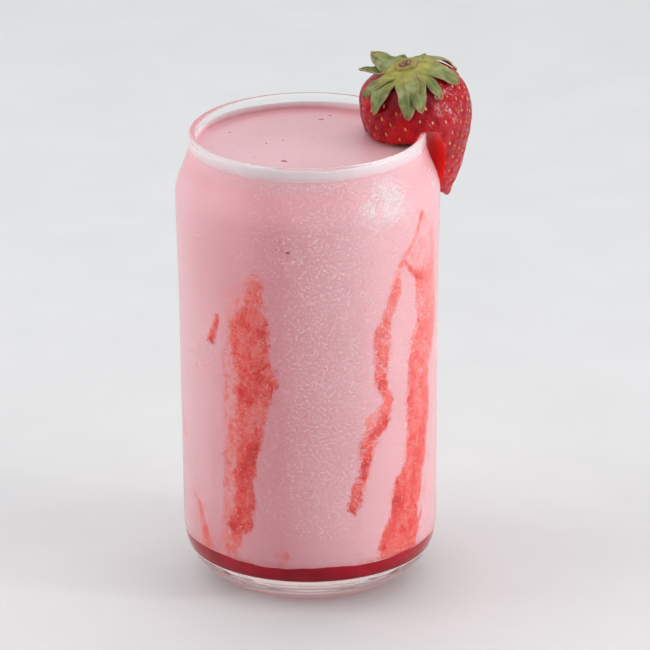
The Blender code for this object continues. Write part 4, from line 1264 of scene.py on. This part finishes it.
def shape_scar():
    """The stalk's scar: a low collar round a sunken, wrinkled middle."""
    start_clean()
    bpy.ops.mesh.primitive_circle_add(vertices=48, radius=SCAR_RADIUS * 1.15, fill_type='NGON')
    scar = bpy.context.object
    bpy.ops.object.mode_set(mode='EDIT')
    bpy.ops.mesh.select_all(action='SELECT')
    before = 1.0
    for share, rise in SCAR_RINGS:
        bpy.ops.mesh.extrude_region_move(TRANSFORM_OT_translate={"value": (0, 0, rise)})
        bpy.ops.transform.resize(value=(share / before, share / before, 1))
        before = share
    bpy.ops.object.mode_set(mode='OBJECT')
    centre = over_skin(0, 0, SKIN_ROOM * 0.6 + CALYX_THICKNESS)
    for vert in scar.data.vertices:
        angle = math.atan2(vert.co.y, vert.co.x)
        from_middle = math.hypot(vert.co.x, vert.co.y) / SCAR_RADIUS
        wobble = 1 + 0.05 * math.sin(5 * angle + 1) + 0.03 * math.sin(9 * angle)
        rough = 0.00010 * noise.noise(Vector((vert.co.x * 1500, vert.co.y * 1500, 3)))
        height = vert.co.z + rough - (0.0003 if from_middle > 1.1 else 0)
        across = (BERRY_OUT * vert.co.x + BERRY_ASIDE * vert.co.y) * wobble
        vert.co = centre + across + BERRY_UP * height
    thicken(scar, SCAR_THICKNESS, -1)
    face_outwards()
    return settle("stalk_scar")


def sepal_finish():
    """Yellow-green at the root and sage further out, with fine ribs and a dry, pinkish rim."""
    finish, tree, shader = new_finish("sepal_green", (0.20, 0.25, 0.08), 0.5,
                                      Specular_IOR_Level=0.25)
    own = add(tree, "TexCoord").outputs["Object"]
    side = add(tree, "Attribute", attribute_name="leaf_side").outputs["Fac"]
    down = add(tree, "Attribute", attribute_name="leaf_down").outputs["Fac"]
    cloud = speckle(tree, 260, 3.0, own)
    sage = ramp(tree, cloud, (0.34, (0.075, 0.095, 0.022)), (0.5, (0.175, 0.205, 0.060)),
                (0.66, (0.35, 0.38, 0.16)))
    yellow = ramp(tree, speckle(tree, 420, 3.0, own), (0.35, (0.28, 0.25, 0.036)),
                  (0.55, (0.42, 0.375, 0.060)), (0.70, (0.54, 0.46, 0.11)))
    height = add(tree, "SeparateXYZ", {"Vector": own}).outputs["Z"]
    hanging = fade(tree, maths(tree, 'MULTIPLY_ADD', around_middle(tree, cloud), 0.008, height),
                   HANGING_FROM, HANGING_TO)
    sage = blend(tree, maths(tree, 'MULTIPLY', hanging, 0.65), sage, (0.065, 0.10, 0.022))
    near_root = fade(tree, maths(tree, 'MULTIPLY_ADD', around_middle(tree, cloud), 0.9, down),
                     0.66, 0.16)
    green = blend(tree, near_root, sage, yellow)
    off_rib = maths(tree, 'ABSOLUTE', side)
    green = blend(tree, maths(tree, 'MULTIPLY', fade(tree, off_rib, 0.14, 0.03), 0.45), green,
                  (0.38, 0.40, 0.16))
    lines = maths(tree, 'MULTIPLY_ADD', around_middle(tree, speckle(tree, 700, 2.0, own)), 5.0,
                  maths(tree, 'MULTIPLY', side, 34.0))
    fan = maths(tree, 'SINE', lines)
    green = blend(tree, maths(tree, 'MULTIPLY', fade(tree, fan, 0.3, 1.0), 0.28), green,
                  (0.40, 0.43, 0.17))
    rim = fade(tree, maths(tree, 'MULTIPLY_ADD', cloud, 0.35, off_rib), 1.06, 1.20)
    green = blend(tree, maths(tree, 'MULTIPLY', rim, 0.6), green, (0.52, 0.36, 0.22))
    tip = fade(tree, maths(tree, 'MULTIPLY_ADD', cloud, 0.3, down), 1.02, 1.16)
    green = blend(tree, maths(tree, 'MULTIPLY', tip, 0.45), green, (0.42, 0.20, 0.07))
    tree.links.new(green, shader.inputs["Base Color"])
    roughen(tree, shader, fan, 0.25, 0.0002)
    return finish


def dome_finish():
    """The same yellow-green as the sepals' roots, browner round the scar."""
    finish, tree, shader = new_finish("calyx_dome", (0.38, 0.36, 0.07), 0.5,
                                      Specular_IOR_Level=0.25)
    own = add(tree, "TexCoord").outputs["Object"]
    green = ramp(tree, speckle(tree, 420, 3.0, own), (0.35, (0.26, 0.25, 0.040)),
                 (0.55, (0.38, 0.36, 0.065)), (0.70, (0.48, 0.44, 0.11)))
    away = add(tree, "VectorMath", {0: own, 1: tuple(over_skin(0, 0, SKIN_ROOM))},
               operation='DISTANCE')
    near_scar = fade(tree, away.outputs["Value"], SCAR_RADIUS * 1.55, SCAR_RADIUS * 1.05)
    green = blend(tree, maths(tree, 'MULTIPLY', near_scar, 0.7), green, (0.36, 0.24, 0.09))
    tree.links.new(green, shader.inputs["Base Color"])
    roughen(tree, shader, speckle(tree, 900, 3.0, own), 0.3, 0.0002)
    return finish


def scar_finish():
    """Dry brown, its raised collar tan and its middle dark with pale threads."""
    finish, tree, shader = new_finish("stalk_scar", (0.24, 0.14, 0.08), 0.75,
                                      Specular_IOR_Level=0.15)
    own = add(tree, "TexCoord").outputs["Object"]
    brown = ramp(tree, speckle(tree, 900, 3.0, own, 0.5, 1.6), (0.38, (0.085, 0.034, 0.018)),
                 (0.52, (0.20, 0.10, 0.052)), (0.64, (0.46, 0.30, 0.17)))
    away = add(tree, "VectorMath", {0: own, 1: tuple(over_skin(0, 0, SKIN_ROOM))},
               operation='DISTANCE')
    collar = fade(tree, away.outputs["Value"], SCAR_RADIUS * 0.80, SCAR_RADIUS * 1.0)
    brown = blend(tree, maths(tree, 'MULTIPLY', collar, 0.8), brown, (0.42, 0.33, 0.11))
    tree.links.new(brown, shader.inputs["Base Color"])
    roughen(tree, shader, speckle(tree, 1300, 3.0, own), 0.35, 0.0003)
    return finish


dome = shape_dome()
dome.data.materials.append(dome_finish())
scar = shape_scar()
scar.data.materials.append(scar_finish())
leaf_green = sepal_finish()
leaves = []
for number, (turn, bend, length, half_width, curl) in enumerate(SEPALS):
    leaf = shape_sepal(number, math.radians(turn), math.radians(bend), length / 1000,
                       half_width / 1000, curl / 1000)
    leaf.data.materials.append(leaf_green)
    leaves.append(leaf)
for piece in [dome, scar] + leaves:
    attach(piece, "root")
    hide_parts("calyx")


# ---- The fruit flecks ----------------------------------------------------------------------
# Bits of seed and skin that the blender left whole.  Some float on the shake and some
# are pressed against the wall.

# On the surface: x and y from the glass's axis, then length, all mm.  At the wall:
# degrees round from the front, height mm, length mm.
FLOATING = [(-11.8, 2.8, 0.8), (-6.6, -12.4, 2.0), (4.0, 23.6, 1.6), (6.5, 27.0, 0.9),
            (-22.4, 12.4, 0.7), (-7.0, 5.2, 0.7), (26.1, 1.7, 0.9), (-10.6, 6.5, 0.4),
            (2.0, 8.0, 0.4), (-15.0, -9.0, 0.4)]
AT_WALL = [(-14, 112.9, 1.0), (-11.6, 112.8, 1.1), (-8.7, 112.2, 1.5), (-17.5, 102.1, 0.6),
           (-14.4, 76, 0.8), (7.4, 76.8, 0.8), (-1.7, 70.9, 0.7), (-1.4, 62.3, 0.8),
           (0.7, 41.8, 0.7), (0.7, 39, 0.9), (-13.1, 16.1, 0.6), (-15.6, 104, 0.5),
           (48.7, 113.9, 0.6), (26.2, 93.2, 0.8), (28.7, 95, 0.6), (-20.8, 103.4, 0.5),
           (-35.7, 82.8, 0.6), (-61.4, 71.1, 0.9), (-9.5, 57.0, 0.5), (5.0, 33.0, 0.6),
           (14.0, 50.0, 0.7), (-6.0, 26.0, 0.5), (60.0, 106.0, 0.5), (-52.0, 60.0, 0.5),
           (100, 90, 0.9), (140, 60, 0.8), (-150, 100, 0.8), (-100, 44, 0.9), (170, 34, 0.7)]
FLOATING_THICKNESS, PRESSED_THICKNESS = 0.0002, 0.00014


def fleck_pattern():
    start_clean()
    bpy.ops.mesh.primitive_ico_sphere_add(subdivisions=2, radius=0.5)
    pattern = bpy.context.object
    for vert in pattern.data.vertices:
        vert.co *= 1 + 0.35 * noise.noise(vert.co * 4.1)
    return pattern


def fleck_matrices():
    """Flat flecks, first those afloat and then those pressed on the wall."""
    draw = random.Random(31)
    places = []
    for x, y, length in FLOATING:
        place = Vector((GLASS_AXIS_X + x / 1000, y / 1000, DRINK_LEVEL))
        spin = Matrix.Rotation(draw.uniform(-0.5, 0.5), 4, 'Z')
        size = Matrix.Diagonal((length / 1000, length / 1500, FLOATING_THICKNESS, 1))
        places.append(Matrix.Translation(place) @ spin @ size)
    for azimuth, height_mm, length in AT_WALL:
        outward = Vector((math.sin(math.radians(azimuth)), -math.cos(math.radians(azimuth)), 0))
        reach = inner_radius(height_mm / 1000) + MILK_REACH
        turn = outward.to_track_quat('Z', 'Y').to_matrix().to_4x4()
        spin = Matrix.Rotation(draw.uniform(-1.5, 1.5), 4, 'Z')
        size = Matrix.Diagonal((length / 1150, length / 1600, PRESSED_THICKNESS, 1))
        place = Vector((GLASS_AXIS_X, 0, height_mm / 1000)) + outward * reach
        places.append(Matrix.Translation(place) @ turn @ spin @ size)
    return places


def fleck_finish():
    finish, tree, shader = new_finish("fruit_flecks", (0.22, 0.06, 0.09), 0.5,
                                      Specular_IOR_Level=0.15)
    tint = ramp(tree, speckle(tree, 170, 2.0), (0.36, (0.36, 0.10, 0.13)),
                (0.50, (0.54, 0.15, 0.18)), (0.62, (0.68, 0.15, 0.17)))
    tree.links.new(tint, shader.inputs["Base Color"])
    return finish


flecks = scatter("fruit_flecks", fleck_pattern(), fleck_matrices(), fleck_finish())
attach(flecks, "root")


# ---- The condensation ----------------------------------------------------------------------
# The cold drink draws a mist of tiny droplets on the outside of the glass, thickest on
# the right of the front, where a few have run together, and sparse round the back.

# Each patch: how many droplets, from and to degrees round from the front, seed of the draw.
DENSE_AZIMUTH, DENSE_REACH = 18, 27         # where the mist is thickest and how far that goes
MIST = {"condensation_left": (9000, -62, DENSE_AZIMUTH, 23),
        "condensation_right": (10800, DENSE_AZIMUTH, 92, 31),
        "condensation_back": (2600, 92, 298, 29)}
MIST_FOOT, MIST_TOP = 0.024, 0.1315
SHOULDER_CLUSTER = (39, 0.1242)             # degrees round from the front, height
CLUSTER_REACH = (13, 0.006)
SMALLEST_DROP, DROP_SPREAD = 0.00012, 0.00015


def droplet_pattern():
    """A low dome on a flat foot."""
    start_clean()
    bpy.ops.mesh.primitive_uv_sphere_add(segments=5, ring_count=4, radius=0.5)
    pattern = bpy.context.object
    bpy.ops.object.mode_set(mode='EDIT')
    bpy.ops.mesh.select_all(action='SELECT')
    bpy.ops.mesh.bisect(plane_co=(0, 0, 0.01), plane_no=(0, 0, 1), clear_inner=True, use_fill=True)
    bpy.ops.object.mode_set(mode='OBJECT')
    return pattern


def droplet_density(azimuth, height):
    """How many of the droplets tried for one place are kept, 0 to 1, and how large they run."""
    density = 0.04 + 0.50 * math.exp(-((azimuth - DENSE_AZIMUTH) / DENSE_REACH) ** 2)
    density *= 0.45 + 0.55 * smoothstep(0.03, 0.080, height)
    off = math.hypot((azimuth - SHOULDER_CLUSTER[0]) / CLUSTER_REACH[0],
                     (height - SHOULDER_CLUSTER[1]) / CLUSTER_REACH[1])
    cluster = math.exp(-off * off)
    return min(density + cluster, 1.0), 1 + 1.5 * cluster


def droplet_matrices(count, low_azimuth, high_azimuth, seed):
    """Droplets drawn at random over the wall, kept where the mist is thick, in loose patches."""
    draw = random.Random(seed)
    places = []
    while len(places) < count:
        azimuth = draw.uniform(low_azimuth, high_azimuth)
        height = draw.uniform(MIST_FOOT, MIST_TOP)
        density, growth = droplet_density((azimuth + 180) % 360 - 180, height)
        angle = math.radians(azimuth)
        patch = noise.noise(Vector((math.sin(angle) * 9, math.cos(angle) * 9, height * 240)))
        if draw.random() > density * (0.8 + 0.5 * patch):
            continue
        size = (SMALLEST_DROP + DROP_SPREAD * draw.random() ** 2.0) * growth
        radius = outer_radius(height) - size * 0.01
        outward = Vector((math.sin(angle), -math.cos(angle), 0))
        place = Vector((GLASS_AXIS_X, 0, height)) + outward * radius
        turn = outward.to_track_quat('Z', 'Y').to_matrix().to_4x4()
        size_up = size * draw.uniform(0.9, 1.35)
        flat = size * draw.uniform(0.5, 0.8)
        places.append(Matrix.Translation(place) @ turn @ Matrix.Diagonal((size, size_up, flat, 1)))
    return places


def droplet_finish():
    """Water drops painted near white with little transmission, a painted highlight that shows each as a
    bright dot, with a lamp's glint on each.
    """
    # Near white, so each drop shows as a bright dot: a painted highlight.
    finish, tree, shader = new_finish("water_drops", (1.0, 0.93, 0.935), 0.1, IOR=1.33,
                                      Transmission_Weight=0.08, Specular_IOR_Level=0.6)
    rough = add(tree, "MapRange", {"Value": speckle(tree, 200, 2.0), "To Min": 0.30,
                                   "To Max": 0.46})
    tree.links.new(rough.outputs["Result"], shader.inputs["Roughness"])
    let_lamps_through(tree, shader, (0.98, 0.98, 0.98))
    return finish


painted_white_drops = droplet_finish()
for name, patch in MIST.items():
    mist = scatter(name, droplet_pattern(), droplet_matrices(*patch), painted_white_drops)
    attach(mist, "root")


# ---- The studio ----------------------------------------------------------------------------
# A plain pale floor in a dim pale room.  A soft lamp stands at each side, a large one
# hangs over the back, and two small ones brighten the droplets and the foot.

CAMERA_PLACE = (-0.000181, -1.396743, 0.622909)
CAMERA_TILT = math.radians(90 - 21.38)
CAMERA_ROLL = math.radians(-0.3646)
FOCAL_PIXELS = 5173.06
IMAGE_SIDE = 650
SENSOR_MM = 36
MIDDLE = (0, 0, 0.075)          # what the lamps aim at
# Each lamp: degrees round from the front and above the table, distance, width, height, watts.
LAMPS = {"left_softbox": (-80, 24, 1.1, 0.95, 0.95, 4.45),
         "right_softbox": (68, 22, 1.1, 0.85, 0.95, 3.8),
         "overhead_softbox": (180, 68, 1.2, 1.7, 1.5, 6.8),
         "right_sparkle": (72, 11.5, 0.9, 0.05, 0.05, 1.7),
         "low_back_card": (180, 4.5, 1.3, 1.6, 0.26, 0.3)}


def lamp_place(azimuth, lift, distance):
    """A place that far off, that many degrees round from the front and above the table."""
    turn, rise = math.radians(azimuth), math.radians(lift)
    return (math.sin(turn) * math.cos(rise) * distance,
            -math.cos(turn) * math.cos(rise) * distance, MIDDLE[2] + math.sin(rise) * distance)


def soft_lamp(name, place, width, height, power):
    start_clean()
    direction = Vector(MIDDLE) - Vector(place)
    turn = direction.to_track_quat('-Z', 'Y').to_euler()
    bpy.ops.object.light_add(type='AREA', location=place, rotation=turn)
    lamp = bpy.context.object
    lamp.name = name
    lamp.data.shape = 'ELLIPSE'
    lamp.data.size, lamp.data.size_y = width, height
    lamp.data.energy = power


start_clean()
bpy.ops.mesh.primitive_circle_add(vertices=96, radius=4, fill_type='NGON', location=(0, 0, 0))
floor = settle("studio_floor")
floor_finish, floor_tree, floor_shader = new_finish("studio_floor", (0.80, 0.80, 0.80), 0.55,
                                                    Specular_IOR_Level=0.25)
paper = ramp(floor_tree, speckle(floor_tree, 30, 4.0), (0.3, (0.79, 0.79, 0.79)),
             (0.7, (0.82, 0.82, 0.82)))
floor_tree.links.new(paper, floor_shader.inputs["Base Color"])
floor.data.materials.append(floor_finish)

for name, (azimuth, lift, distance, width, height, power) in LAMPS.items():
    soft_lamp(name, lamp_place(azimuth, lift, distance), width, height, power)

room = bpy.data.worlds.new("pale_room")
room.use_nodes = True
room.node_tree.nodes["Background"].inputs["Color"].default_value = (0.80, 0.82, 0.85, 1)
room.node_tree.nodes["Background"].inputs["Strength"].default_value = 0.52
bpy.context.scene.world = room
bpy.context.scene.view_settings.view_transform = 'Standard'

start_clean()
bpy.ops.object.camera_add(location=CAMERA_PLACE)
camera = bpy.context.object
camera.matrix_world = (Matrix.Translation(CAMERA_PLACE) @ Matrix.Rotation(CAMERA_TILT, 4, 'X')
                       @ Matrix.Rotation(CAMERA_ROLL, 4, 'Z'))
camera.data.sensor_width = SENSOR_MM
camera.data.lens = FOCAL_PIXELS * SENSOR_MM / IMAGE_SIDE
camera.data.clip_start = 0.05
bpy.context.scene.camera = camera
